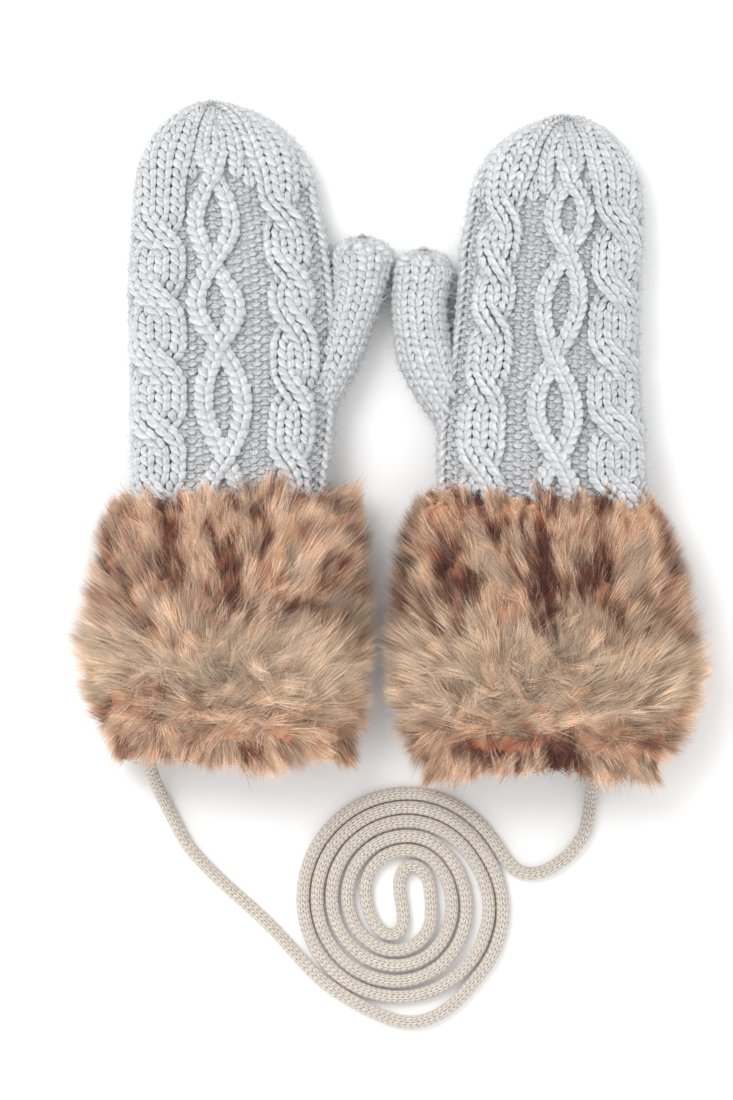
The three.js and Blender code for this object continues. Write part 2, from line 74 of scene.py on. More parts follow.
# Each mitten: where it lies, then the tables of its hand, thumb and cuff, whose columns are named below.
# hand: along, inner, outer. thumb: along, inner, width, low. cuff: along, inner, outer, over.
# The cables' crossings are heights over the hem. A diamond's row is a height and the place of its middle.
LEFT = dict(
    side="left", mirror=1.0, turn=0.0, x=-72.44, hem=-134.60, seed=11,
    lean=-0.077 * HAND_WIDTH, cuff_length=CUFF_LENGTH, crest=(30, 7),
    hand=[(0, .474, .474), (.465, .469, .469), (.576, .501, .477), (.708, .516, .484),
          (.819, .508, .492), (.93, .469, .48), (1, .424, .469)],
    thumb=[(.502, .28, .547, .417), (.613, .323, .65, .125), (.695, .387, .796, -.05),
           (.778, .462, .803, -.05), (.831, .495, .858, -.05), (.889, .495, 1, -.05)],
    cuff=[(0, .57, .43, .26), (.115, .74, .735, .48), (.44, .835, 1.07, .65), (.66, .86, .88, .61),
          (.885, .8, .67, .52), (1, .626, .5, .3)],
    inner_crossings=[93, 123.8, 157.1, 186.8, 210.2, 237.2],
    outer_crossings=[80.5, 110.4, 140.1, 169.8, 199.5, 228.8],
    diamond=[(82, 14.9), (127, 14.6), (178.4, 15.6), (213.6, 16.2), (253.5, 15.4)],
)
RIGHT = dict(
    side="right", mirror=-1.0, turn=math.radians(-1.2), x=69.04, hem=-140.63, seed=29,
    lean=-0.037 * HAND_WIDTH, cuff_length=1.065 * CUFF_LENGTH, crest=(-8, 6),
    hand=[(0, .484, .474), (.49, .542, .467), (.601, .544, .456), (.683, .508, .426),
          (.844, .467, .418), (.942, .456, .43), (1, .426, .432)],
    thumb=[(.502, .29, .657, .417), (.601, .312, .821, .125), (.663, .387, .934, -.05),
           (.724, .462, .949, -.05), (.819, .516, .898, -.05), (.885, .492, .971, -.05)],
    cuff=[(0, .61, .474, .26), (.115, .9, .865, .48), (.44, 1.05, 1.13, .65), (.66, .957, .88, .61),
          (.885, .74, .583, .52), (1, .46, .283, .3)],
    inner_crossings=[94, 128.3, 163.4, 193.5, 218.7, 242.6],
    outer_crossings=[86, 116.6, 147.2, 177.8, 208.4, 238],
    diamond=[(86, 15.0), (134.1, 15.8), (178.7, 15.2), (227.3, 16.2), (258.3, 15.6)],
)
# How a hand lies: along, how high its underside is in lifts of the cuff, and its height in hand heights
LIE = [(0, 1, 1.2), (.251, 1, 1.16), (.465, .8, 1.1), (.576, .25, 1.1), (.708, -.12, 1.08),
       (.819, -.15, 1.05), (.93, -.15, .98), (1, -.12, .9)]

# The cord's two ends, from each hem to the coil, as in the part
CORD_LEFT = [
    (-109.8, -135.7, 17.0), (-109.3, -142.6, 15.9), (-106.9, -151.6, 10.2), (-103.5, -159.6, 4.8),
    (-99.9, -167.1, 3.4), (-91.7, -182.2, 3.1), (-80.2, -195.0, 3.1), (-67.4, -206.6, 3.1),
    (-55.1, -217.6, 3.1), (-43.1, -231.0, 3.1),
]
CORD_RIGHT = [
    (91.9, -141.7, 12.8), (91.7, -148.1, 11.6), (91.1, -155.1, 7.2), (90.5, -162.1, 3.7),
    (89.5, -169.1, 3.2), (87.0, -178.1, 3.1), (80.5, -186.7, 3.1), (71.9, -193.6, 3.1),
    (63.9, -195.6, 3.1), (56.9, -194.8, 3.1), (53.5, -193.6, 3.1),
]
COIL_CENTRE = (5.4, -208.75)


# Tables and tubes
def column(rows, index, along):
    """One column of a table, interpolated smoothly through its rows, as in the part."""
    at = np.array([row[0] for row in rows], float)
    value = np.array([row[index] for row in rows], float)
    last = len(rows) - 1
    after = np.minimum(np.arange(len(rows)) + 1, last)
    before = np.maximum(np.arange(len(rows)) - 1, 0)
    slope = (value[after] - value[before]) / (at[after] - at[before])
    along = np.asarray(along, float)
    i = np.clip(np.searchsorted(at, along, side="left") - 1, 0, last - 1)
    span = at[i + 1] - at[i]
    t = np.clip((along - at[i]) / span, 0, 1)
    ease = t * t * (3 - 2 * t)
    leave = slope[i] * span * t * (1 - t) ** 2
    arrive = slope[i + 1] * span * t * t * (t - 1)
    return value[i] * (1 - ease) + value[i + 1] * ease + leave + arrive


def smoothstep(x, low, high):
    t = np.clip((x - low) / (high - low), 0, 1)
    return t * t * (3 - 2 * t)


def mixed(first, second, share):
    return first * (1 - share) + second * share


def unit(vectors):
    return vectors / np.maximum(np.linalg.norm(vectors, axis=-1, keepdims=True), 1e-9)


def every(*axes):
    """Every combination of the axes' values, as one flat array for each axis."""
    return [values.ravel() for values in np.meshgrid(*axes, indexing="ij")]


def row_of(places, v):
    """The row of a table before each v, where places are those of its rows, and the share on to the next."""
    found = np.interp(v, places, np.arange(len(places)))
    row = np.clip(found.astype(int), 0, len(places) - 2)
    return row, found - row


OUTLINE_POINTS = 193


def outlines(middle, half, low, high, steps):
    """Superellipses flattened on the floor, a row for each, in even steps from the +x edge over the top."""
    turn = np.linspace(0, 2 * math.pi, OUTLINE_POINTS)
    power = 2 / HAND_FULLNESS
    bend_x, bend_z = (np.sign(c) * np.abs(c) ** power for c in (np.cos(turn), np.sin(turn)))
    x = middle[:, None] + half[:, None] * bend_x
    z = np.maximum(((low + high) / 2)[:, None] + ((high - low) / 2)[:, None] * bend_z, 0)
    reach = np.cumsum(np.hypot(np.diff(x), np.diff(z)), 1)
    reach = np.hstack([np.zeros((len(x), 1)), reach])
    shares = np.linspace(0, 1, steps + 1)
    xs = np.array([np.interp(shares * r[-1], r, row) for r, row in zip(reach, x)])
    zs = np.array([np.interp(shares * r[-1], r, row) for r, row in zip(reach, z)])
    return xs, zs, reach[:, -1]


class Tube:
    """A soft tube as a grid of points, asked for its surface at a share of the way round and along."""

    steps = 240

    def __init__(self, v, y, middle, half, low, high, tilt=None):
        xs, zs, self.round = outlines(middle, half, low, high, self.steps)
        ys = np.repeat(np.asarray(y, float)[:, None], self.steps + 1, 1)
        if tilt is not None:
            ys = ys + tilt[:, None] * (zs - low[:, None]) / np.maximum(high - low, 1e-6)[:, None]
        self.v = np.asarray(v, float)
        self.grid = np.stack([xs, ys, zs], 2)
        around = np.roll(self.grid[:, :-1], -1, 1) - np.roll(self.grid[:, :-1], 1, 1)
        around = np.hstack([around, around[:, :1]])
        self.out = unit(np.cross(np.gradient(self.grid, axis=0), around))

    def _mix(self, table, share, v):
        i, s = row_of(self.v, v)
        turn = np.mod(share, 1.0) * self.steps
        j = np.clip(turn.astype(int), 0, self.steps - 1)
        t = (turn - j)[..., None]
        found = [mixed(table[row, j], table[row, j + 1], t) for row in (i, i + 1)]
        return mixed(*found, s[..., None])

    def at(self, share, v):
        return self._mix(self.grid, share, v), unit(self._mix(self.out, share, v))

    def girth(self, v):
        return np.interp(v, self.v, self.round)


def hand_sizes(mitten, y):
    along = np.asarray(y, float) / BODY_LENGTH
    low = CUFF_LIFT * column(LIE, 1, along)
    inner = HAND_WIDTH * column(mitten["hand"], 1, along)
    outer = HAND_WIDTH * column(mitten["hand"], 2, along)
    return (inner - outer) / 2, (inner + outer) / 2, low, low + HAND_HEIGHT * column(LIE, 2, along)


BLUNTNESS = 0.85


def crown(v, end, arc, least):
    """The share of its height that a crown has reached at each v, and what is left of the tube's width."""
    share = np.sin(np.clip((v - end) / arc, 0, 1) * math.pi / 2)
    return share, np.sqrt(np.maximum(1 - share ** 2, least))


def hand_tube(mitten):
    """The hand from hem to fingertip. v is y up to the crown, and the way over it after that."""
    v = np.concatenate([np.arange(0, BODY_LENGTH, 3.0), BODY_LENGTH + np.linspace(0, CROWN_ARC, 33)])
    share, shrunk = crown(v, BODY_LENGTH, CROWN_ARC, 0.0004)
    y = np.minimum(v, BODY_LENGTH)
    middle, half, low, high = hand_sizes(mitten, y)
    middle = middle + (mitten["lean"] - middle) * (1 - shrunk)
    centre, tall = (low + high) / 2, (high - low) / 2 * shrunk ** BLUNTNESS
    return Tube(v, y + CROWN_LENGTH * share, middle, half * shrunk, centre - tall, centre + tall)


def thumb_tube(mitten):
    """The thumb, whose crown closes a little on its upper side."""
    rows = mitten["thumb"]
    start, end = BODY_LENGTH * rows[0][0], BODY_LENGTH * rows[-1][0]
    arc = 1.45 * THUMB_CROWN
    v = np.concatenate([np.arange(start, end, 2.0), end + np.linspace(0, arc, 17)])
    share, shrunk = crown(v, end, arc, 0.002)
    y = np.minimum(v, end)
    along = y / BODY_LENGTH
    width = THUMB_WIDTH * column(rows, 2, along)
    middle = HAND_WIDTH * column(rows, 1, along) + width / 2
    low, high = THUMB_HEIGHT * column(rows, 3, along), THUMB_HEIGHT
    tall = (high - low) / 2
    centre = (low + high) / 2 + 0.5 * tall * (1 - shrunk)
    tall = tall * shrunk ** BLUNTNESS
    return Tube(v, y + THUMB_CROWN * share, middle, width / 2 * shrunk, centre - tall, centre + tall,
                tilt=-0.55 * THUMB_CROWN * (1 - shrunk))


def cuff_tube(mitten, pile):
    """The fur at a share of its depth: 0 on the knit, 1 at the hair's tips. v is a share of the band."""
    v = np.linspace(-0.25, 1.25, 61)
    a = np.clip(v, 0, 1)
    y = (mitten["cuff_length"] + CUFF_OVERHANG) * v - CUFF_OVERHANG
    middle, half, low, high = hand_sizes(mitten, np.maximum(y, 0))
    inner, outer, over = (PILE_DEPTH * pile * column(mitten["cuff"], k, a) for k in (1, 2, 3))
    bottom = low * (1 - pile) - 0.3 * over * pile
    return Tube(v, y, middle + (inner - outer) / 2, half + (inner + outer) / 2, bottom, high + over)


def placed(mitten, points):
    """Points of a mitten's own frame in the frame of the pair."""
    c, s = math.cos(mitten["turn"]), math.sin(mitten["turn"])
    x = mitten["mirror"] * points[..., 0]
    y = points[..., 1]
    return np.stack([mitten["x"] + x * c - y * s, mitten["hem"] + x * s + y * c, points[..., 2]], -1)


# Meshes from arrays
class Shape:
    """Collects points, faces, texture places and tones, and makes one mesh of them."""

    def __init__(self):
        self.points, self.tones = [], []
        self.loops, self.sizes, self.uvs, self.kinds = [], [], [], []
        self.count = 0

    def add_points(self, points, tone):
        """Adds points with a tone of three numbers each, and returns the first one's number."""
        first = self.count
        self.points.append(points.reshape(-1, 3))
        self.tones.append(tone.reshape(-1, 3))
        self.count += len(self.points[-1])
        return first

    def add_faces(self, faces, uv, kind=0):
        """faces has one row of corners a face, and uv one place a corner."""
        self.loops.append(faces.ravel())
        self.sizes.append(np.full(len(faces), faces.shape[1]))
        self.uvs.append(uv.reshape(-1, 2))
        self.kinds.append(np.full(len(faces), kind))

    def mesh(self, name, materials, mitten=None):
        points = np.concatenate(self.points)
        if mitten:
            points = placed(mitten, points)
        points[:, 2] = np.maximum(points[:, 2], FLOOR_GAP)
        loops = np.concatenate(self.loops).astype(np.int32)
        sizes = np.concatenate(self.sizes).astype(np.int32)
        uvs = np.concatenate(self.uvs).astype(np.float32)
        tones = np.concatenate(self.tones)
        tones = np.hstack([tones, np.ones((len(tones), 1))])
        starts = np.concatenate([[0], np.cumsum(sizes)[:-1]]).astype(np.int32)
        if mitten and mitten["mirror"] < 0:
            which = np.repeat(np.arange(len(sizes)), sizes)
            order = 2 * starts[which] + sizes[which] - 1 - np.arange(len(loops))
            loops, uvs = loops[order], uvs[order]
        data = bpy.data.meshes.new(name)
        data.vertices.add(len(points))
        data.vertices.foreach_set("co", (points * MM).astype(np.float32).ravel())
        data.loops.add(len(loops))
        data.loops.foreach_set("vertex_index", loops)
        data.polygons.add(len(sizes))
        data.polygons.foreach_set("loop_start", starts)
        data.polygons.foreach_set("material_index", np.concatenate(self.kinds).astype(np.int32))
        data.update(calc_edges=True)
        data.polygons.foreach_set("use_smooth", np.ones(len(sizes), bool))
        data.uv_layers.new(name="Yarn").data.foreach_set("uv", uvs.ravel())
        tone = data.attributes.new("tone", "FLOAT_COLOR", "POINT")
        tone.data.foreach_set("color", tones.astype(np.float32).ravel())
        for material in materials:
            data.materials.append(material)
        data.validate()
        piece = bpy.data.objects.new(name, data)
        bpy.context.scene.collection.objects.link(piece)
        return piece


def grid_faces(rows, around):
    """A grid closed round the way: each face's corners, as points and as places in the grid."""
    i, j = every(np.arange(rows - 1), np.arange(around))
    places = np.stack([i, j, i, j + 1, i + 1, j + 1, i + 1, j], 1).reshape(-1, 4, 2)
    return places[..., 0] * around + places[..., 1] % around, places


def skin(shape, rings, uv_size, tone, kind=0):
    """A smooth tube wall through rings of points, (rows, around, 3)."""
    rows, around, _ = rings.shape
    faces, places = grid_faces(rows, around)
    outward = [1, 0, 3, 2]
    uv = places[:, outward] * [uv_size[0] / (rows - 1), uv_size[1] / around]
    first = shape.add_points(rings, np.broadcast_to(tone, rings.shape))
    shape.add_faces(faces[:, outward] + first, uv, kind)


def slivers(shape, points, uv, tone):
    """Triangles of their own: points and tone have three rows each, and uv is the same for all."""
    first = shape.add_points(points, tone)
    faces = first + np.arange(3 * len(points)).reshape(-1, 3)
    shape.add_faces(faces, np.broadcast_to(np.array(uv, float), (len(points), 3, 2)))


YARN_FLATNESS = 0.86


def spindles(shape, path, out, radius, sides, tone, uneven=None):
    """Closed yarn-like bodies along short paths: path and out are (count, rings, 3), radius (count, rings).

    The first and the last point of a path are the body's two tips.
    """
    count, rings, _ = path.shape
    along = unit(np.gradient(path, axis=1))
    side = unit(np.cross(out, along))
    up = YARN_FLATNESS * np.cross(along, side)
    turn = (np.arange(sides) + 0.5) / sides * 2 * math.pi
    body = slice(1, rings - 1)
    ring = side[:, body, None] * np.cos(turn)[:, None] + up[:, body, None] * np.sin(turn)[:, None]
    if uneven is not None:
        ring = ring * (1 + uneven[..., None])
    ring = path[:, body, None] + radius[:, body, None, None] * ring
    inner = rings - 2
    points = np.concatenate([ring.reshape(count, inner * sides, 3), path[:, :1], path[:, -1:]], 1)
    quads, quad_uv = grid_faces(inner, sides)
    s = np.arange(sides)
    following = (s + 1) % sides
    top = (inner - 1) * sides
    tip = np.full(sides, inner * sides)
    foot, head = np.zeros(sides), np.full(sides, rings - 1)
    ends = np.concatenate([
        np.stack([tip, following, s], 1), np.stack([tip + 1, top + s, top + following], 1),
    ])
    end_uv = np.concatenate([
        np.stack([foot, s + 0.5, foot + 1, s + 1, foot + 1, s], 1),
        np.stack([head, s + 0.5, head - 1, s, head - 1, s + 1], 1),
    ]).reshape(-1, 3, 2)
    first = shape.add_points(points, np.repeat(tone[:, None], points.shape[1], 1))
    first = first + np.arange(count)[:, None, None] * points.shape[1]
    for faces, uv in ((quads, quad_uv + [1, 0]), (ends, end_uv)):
        uv = np.broadcast_to(uv * [1 / (rings - 1), 1 / sides], (count,) + uv.shape)
        shape.add_faces((faces + first).reshape(-1, faces.shape[1]), uv)


FIBRES = 8
FIBRE_LENGTH = 3.6
FIBRE_WIDTH = 0.24
# Loose fibres are painted this much lighter than their yarn: painted highlight on the fuzz.
FIBRE_PAINTED_HIGHLIGHT = 1.15


def loose_fibres(shape, path, out, radius, tone, rng):
    """Fine fibres that stand off the yarn, each one thin triangle, painted lighter than the yarn as a
    highlight.
    """
    which = np.repeat(np.arange(len(path)), FIBRES)
    ring = rng.integers(2, path.shape[1] - 2, len(which))
    away = unit(0.9 * out[which, ring] + rng.normal(0, 0.8, (len(which), 3)))
    foot = path[which, ring] + 0.85 * radius[which, ring, None] * away
    tip = foot + FIBRE_LENGTH * (0.45 * away + rng.normal(0, 0.5, (len(which), 3)))
    tip[:, 2] = np.maximum(tip[:, 2], 0.1)
    wide = FIBRE_WIDTH / 2 * unit(np.cross(tip - foot, rng.normal(0, 1, (len(which), 3))))
    points = np.stack([foot - wide, foot + wide, tip], 1)
    slivers(shape, points, [[0.25, 0.25]] * 3, FIBRE_PAINTED_HIGHLIGHT * np.repeat(tone[which][:, None], 3, 1))


# Materials
def feed(tree, socket, value):
    """Sets a socket to a number or a colour, or links another node's socket to it."""
    if isinstance(value, (int, float)):
        socket.default_value = value
    elif isinstance(value, tuple):
        socket.default_value = value + (1.0,)
    else:
        tree.links.new(value, socket)


def node(tree, kind, **settings):
    """A new node, with each setting fed to its socket of that name, or else set on the node."""
    made = tree.nodes.new(kind)
    for name, value in settings.items():
        if name in made.inputs:
            feed(tree, made.inputs[name], value)
        else:
            setattr(made, name, value)
    return made


def arithmetic(tree, operation, *values):
    made = node(tree, "ShaderNodeMath", operation=operation)
    for socket, value in zip(made.inputs, values):
        feed(tree, socket, value)
    return made.outputs[0]


def blended(tree, factor, first, second, kind="MIX"):
    made = node(tree, "ShaderNodeMix", data_type="RGBA", blend_type=kind)
    for number, value in ((0, factor), (6, first), (7, second)):
        feed(tree, made.inputs[number], value)
    return made.outputs[2]


def noise(tree, place, scale, detail):
    return node(tree, "ShaderNodeTexNoise", Vector=place, Scale=scale, Detail=detail)


def new_material(name, roughness, sheen, softness=0.0):
    made = bpy.data.materials.new(name)
    made.use_nodes = True
    shader = made.node_tree.nodes["Principled BSDF"]
    for socket, value in (
        ("Roughness", roughness), ("Specular IOR Level", 0.25), ("Sheen Weight", sheen),
        ("Sheen Roughness", 0.5), ("Subsurface Weight", softness),
        ("Subsurface Radius", (1.0, 1.0, 1.0)), ("Subsurface Scale", 0.0016),
    ):
        shader.inputs[socket].default_value = value
    return made, made.node_tree, shader


def yarn_material(name, light, dark, plies, twist, grain, relief):
    """Yarn of twisted plies along each stitch's own UV, with a soft, fuzzy surface. relief is in mm."""
    made, tree, shader = new_material(name, 0.92, 0.25, 0.35)
    uv = node(tree, "ShaderNodeUVMap", uv_map="Yarn").outputs[0]
    split = node(tree, "ShaderNodeSeparateXYZ", Vector=uv)
    place = node(tree, "ShaderNodeTexCoord").outputs["Object"]
    rough = noise(tree, place, grain, 3.0)
    rough.inputs["Roughness"].default_value = 0.65
    fuzz = rough.outputs[0]
    mottle = noise(tree, place, grain * 0.06, 2.0).outputs[0]
    lumps = noise(tree, place, grain * 0.35, 1.0).outputs[0]
    line = arithmetic(tree, "ADD", arithmetic(tree, "MULTIPLY", split.outputs[0], twist),
                      arithmetic(tree, "MULTIPLY", split.outputs[1], float(plies)))
    wobble = arithmetic(tree, "MULTIPLY_ADD", fuzz, 0.35, line)
    ply = arithmetic(tree, "SINE", arithmetic(tree, "MULTIPLY", wobble, 2 * math.pi))
    ply = arithmetic(tree, "MULTIPLY_ADD", ply, 0.5, 0.5)
    tone = node(tree, "ShaderNodeAttribute", attribute_name="tone").outputs["Color"]
    tones = node(tree, "ShaderNodeSeparateColor", Color=tone)
    # The ply stripes darken the colour between the plies: painted shade in the twist's grooves. fuzz and
    # mottle give the yarn's own uneven tone.
    lightness = arithmetic(tree, "MULTIPLY_ADD", ply, 0.28, arithmetic(tree, "MULTIPLY", fuzz, 0.9))
    lightness = arithmetic(tree, "MULTIPLY_ADD", mottle, 0.3, lightness)
    lightness = arithmetic(tree, "MULTIPLY", lightness, tones.outputs[0])
    feed(tree, shader.inputs["Base Color"], blended(tree, lightness, dark, light))
    height = arithmetic(tree, "MULTIPLY_ADD", fuzz, 1.3, ply)
    height = arithmetic(tree, "MULTIPLY_ADD", lumps, 2.0, height)
    bump = node(tree, "ShaderNodeBump", Strength=0.8, Distance=relief * MM, Height=height)
    feed(tree, shader.inputs["Normal"], bump.outputs[0])
    return made


def fur_material(name):
    """Hair coloured along its length by the tones that each lock was given, with fine streaks."""
    made, tree, shader = new_material(name, 0.62, 0.12)
    tone = node(tree, "ShaderNodeAttribute", attribute_name="tone").outputs["Color"]
    uv = node(tree, "ShaderNodeUVMap", uv_map="Yarn").outputs[0]
    place = node(tree, "ShaderNodeTexCoord").outputs["Object"]
    streak = noise(tree, place, 900.0, 2.0).outputs[0]
    strands = node(tree, "ShaderNodeTexWave", Vector=uv, Scale=6.0, Distortion=2.0, Detail=1.0)
    shade = arithmetic(tree, "MULTIPLY_ADD", streak, 0.5, 0.72)
    feed(tree, shader.inputs["Base Color"], blended(tree, 1.0, tone, shade, "MULTIPLY"))
    bump = node(tree, "ShaderNodeBump", Strength=0.2, Distance=0.0003, Height=strands.outputs["Fac"])
    feed(tree, shader.inputs["Normal"], bump.outputs[0])
    return made


YARN_LIGHT = (0.78, 0.785, 0.802)
YARN_DARK = (0.38, 0.386, 0.408)
CORD_LIGHT = (0.79, 0.72, 0.64)
CORD_DARK = (0.60, 0.52, 0.44)
knit_yarn = yarn_material("knit_yarn", YARN_LIGHT, YARN_DARK, 3, 2.0, 1300.0, 0.8)
knit_back = yarn_material("knit_back", (0.74, 0.745, 0.765), (0.52, 0.525, 0.55), 1, 1.0, 1400.0, 0.5)
cord_yarn = yarn_material("cord_yarn", CORD_LIGHT, CORD_DARK, 2, 1.6, 2600.0, 0.2)
# The core shows only in the gaps between the cord's stitches, in a darker yarn than the cord's own: painted
# shade in those gaps.
cord_core_painted_shade = yarn_material("cord_core_painted_shade", (0.66, 0.57, 0.48), (0.46, 0.38, 0.31), 2, 1.6, 2600.0, 0.2)
fur_hair = fur_material("fur_hair")

# Camera: the photograph looks straight down, from far off
PHOTO_HEIGHT = 1100
MM_PER_PIXEL = 0.45
PHOTO_MIDDLE = (-10.93, -48.55)
CAMERA_HEIGHT = 3.2
FOCUS_HEIGHT = 0.022
SENSOR = 24.0
camera_data = bpy.data.cameras.new("camera")
camera_data.sensor_fit = "VERTICAL"
camera_data.sensor_height = SENSOR
camera_data.lens = SENSOR * (CAMERA_HEIGHT - FOCUS_HEIGHT) / (PHOTO_HEIGHT * MM_PER_PIXEL * MM)
camera_data.clip_end = 20.0
camera = bpy.data.objects.new("camera", camera_data)
camera.location = (PHOTO_MIDDLE[0] * MM, PHOTO_MIDDLE[1] * MM, CAMERA_HEIGHT)
bpy.context.scene.collection.objects.link(camera)
bpy.context.scene.camera = camera


# Cord
def smooth_path(points, spacing):
    """A smooth curve through points, in steps of about one spacing, and its length."""
    points = np.array(points, float)
    ends = np.concatenate([[2 * points[0] - points[1]], points, [2 * points[-1] - points[-2]]])
    t = np.linspace(0, 1, 24, endpoint=False)[:, None]
    found = [
        0.5 * (2 * b + (c - a) * t + (2 * a - 5 * b + 4 * c - d) * t ** 2 + (3 * b - a - 3 * c + d) * t ** 3)
        for a, b, c, d in zip(ends[:-3], ends[1:-2], ends[2:-1], ends[3:])
    ]
    curve = np.concatenate(found + [points[-1:]])
    reach = np.concatenate([[0], np.cumsum(np.linalg.norm(np.diff(curve, axis=0), axis=1))])
    at = np.linspace(0, reach[-1], int(round(reach[-1] / spacing)) + 1)
    return np.stack([np.interp(at, reach, curve[:, k]) for k in range(3)], 1), reach[-1]


# Radii of the coil's two arms every quarter turn clockwise: one starts at the left, the other at the right
ARM_FROM_LEFT = [16.4, 26.3, 21.6, 28.7, 32.0, 38.4, 39.2, 42.5, 45.2, 50.2]
ARM_FROM_RIGHT = [12.7, 22.0, 24.8, 32.1, 28.4, 35.8, 38.8, 44.4]
POINTS_A_QUARTER = 4
CORD_Z = CORD_DIAMETER / 2
COIL_HEART = [
    (-9.6, -214.0), (-5.6, -221.0), (-0.4, -224.7), (4.7, -223.2), (6.6, -218.2), (5.6, -211.0),
    (3.9, -204.0), (3.4, -196.6), (5.6, -191.2), (10.4, -188.9), (15.2, -191.2), (17.6, -196.6),
    (18.1, -202.5),
]
TO_RIGHT_RUN = [(19.6, -159.8), (31.5, -165.1), (40.7, -172.7), (46.9, -180.4), (50.6, -187.1)]
TO_LEFT_RUN = [
    (21.8, -167.7), (33.7, -175.2), (41.2, -184.1), (46.4, -193.1), (50.2, -202.8), (51.3, -211.8),
    (50.2, -220.7), (47.2, -230.4), (42.7, -237.9), (36.0, -246.1), (28.5, -254.3), (19.6, -260.3),
    (9.9, -263.0), (0.2, -261.0), (-10.3, -256.5), (-23.0, -249.1), (-34.2, -240.9),
]


def coil_arm(radii, start):
    """Points of a spiral clockwise from a start angle, through a radius every quarter turn."""
    at = np.arange((len(radii) - 1) * POINTS_A_QUARTER + 1) / POINTS_A_QUARTER
    grown = np.interp(at, np.arange(len(radii)), radii)
    for _ in range(2):
        grown[1:-1] = (grown[:-2] + 2 * grown[1:-1] + grown[2:]) / 4
    angle = start - at * math.pi / 2
    x = COIL_CENTRE[0] + grown * np.cos(angle)
    y = COIL_CENTRE[1] + grown * np.sin(angle)
    return list(zip(x, y))


def cord_route():
    """The cord's middle line from the left hem to the right one."""
    from_right = coil_arm(ARM_FROM_RIGHT, 0.0)
    from_left = coil_arm(ARM_FROM_LEFT, math.pi)
    flat = TO_LEFT_RUN[::-1] + from_right[::-1] + COIL_HEART[::-1] + from_left + TO_RIGHT_RUN
    return CORD_LEFT + [(x, y, CORD_Z) for x, y in flat] + CORD_RIGHT[::-1][1:]


EASING_STEP = 2.0
EASING_ROUNDS = 120
EASING_REACH = 9
EASED_FROM = (28, 34)


def eased(path):
    """Moves strands that lie too close sideways until they only touch, and rounds what that bends."""
    index = np.arange(len(path))
    others = np.abs(index[:, None] - index) > EASING_REACH
    held = np.minimum(smoothstep(index, *EASED_FROM), 1 - smoothstep(index, len(path) - 30, len(path) - 24))
    held = held[:, None]
    flat = path[:, :2].copy()
    for _ in range(EASING_ROUNDS):
        step = flat[:, None] - flat
        far = np.maximum(np.linalg.norm(step, axis=2), 1e-6)
        short = np.where(others, np.maximum(CORD_DIAMETER + 0.1 - far, 0), 0)
        push = (step / far[..., None] * short[..., None]).sum(1) / np.maximum((short > 0).sum(1), 1)[:, None]
        straight = np.zeros_like(flat)
        straight[1:-1] = (flat[:-2] + flat[2:]) / 2 - flat[1:-1]
        flat += held * (0.5 * push + 0.06 * straight)
    return np.concatenate([flat, path[:, 2:]], 1)


CORD_COLUMNS = 7
CORD_ROW = 2.6
CORD_STEPS = 4
CORD_LEG = dict(
    steps=np.array([0, 2, 5, 7]), across=np.array([0.0, 0.12, 0.36, 0.44]),
    height=np.array([0.56, 0.80, 0.82, 0.60]), thick=np.array([0.1, 0.66, 0.68, 0.1]),
)
CORE_SIZE = 0.80
CORE_SIDES = 10


def knitted_cord():
    """A small knitted tube: a core, and columns of V stitches round it."""
    rng = np.random.default_rng(5)
    loose, _ = smooth_path(cord_route(), EASING_STEP)
    path, length = smooth_path(eased(loose), CORD_ROW / CORD_STEPS)
    along = unit(np.gradient(path, axis=0))
    side = unit(np.cross([0, 0, 1.0], along))
    up = np.cross(along, side)
    radius = CORD_DIAMETER / 2
    shape = Shape()
    turn = np.arange(CORE_SIDES) / CORE_SIDES * 2 * math.pi
    ring = side[::3, None] * np.cos(turn)[:, None] - up[::3, None] * np.sin(turn)[:, None]
    # The core's tone is halved too: painted shade in the gaps between the legs.
    skin(shape, path[::3, None] - CORE_SIZE * radius * ring, (1, 1), (0.5, 0.5, 0.5), kind=1)
    rows = np.arange(0, len(path) - 7, CORD_STEPS)
    row, number, hand = every(rows, np.arange(CORD_COLUMNS), [-1, 1])
    spot = np.minimum(row[:, None] + CORD_LEG["steps"], len(path) - 1)
    angle = (number[:, None] + 0.25 + hand[:, None] * CORD_LEG["across"]) / CORD_COLUMNS * 2 * math.pi
    out = side[spot] * np.cos(angle)[..., None] + up[spot] * np.sin(angle)[..., None]
    legs = path[spot] + radius * CORD_LEG["height"][:, None] * out
    thick = CORD_LEG["thick"] * rng.uniform(0.92, 1.08, (len(row), 1))
    spindles(shape, legs, out, thick, 4, np.ones((len(row), 3)) * rng.uniform(0.88, 1.08, (len(row), 1)))
    return shape.mesh("cord_knit", [cord_yarn, cord_core_painted_shade]), path, length


cord_piece, cord_path, cord_length = knitted_cord()
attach(cord_piece, "root")
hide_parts("cord_left_run", "cord_right_run", "cord_coil")


# Knit: which legs of the chart are what, counted from the thumb's edge over the back
SIDE_PLAIN = (0, 1, 28, 29, 30)
SIDE_PURL = (2, 3, 10, 11)
INNER_ROPE = (4, 6)
OUTER_ROPE = (20, 8)
PANEL = range(12, 20)
PANEL_EDGES = (12, 13, 18, 19)
PALM = range(31, LEGS)
PLAIN_FROM = 246.0
CROSS_REACH = 11.0
FRONT_LIFT = 1.9
BACK_DROP = 2.2
ROPE_ARCH = 2.0
STRAND_ARCH = 0.7
KNIT_DEPTH = -1.5
PURL_DEPTH = -2.6
# Purl bumps sit deeper than the plain legs, and their tone is painted this much darker: painted shade in the
# recess.
PURL_PAINTED_SHADE = 0.88
DIAMOND_SWING = 2.4
DIAMOND_LIFT = 1.2
DIAMOND_WIDE = 1.22
DIAMOND_CROSSING = 1.3
CROSS_SPREAD = 0.35
SAG = 0.8
SAG_SCALE = 45
SLANTED = 1.8
STEEP = 0.75
NARROWEST_LEG = 1.0

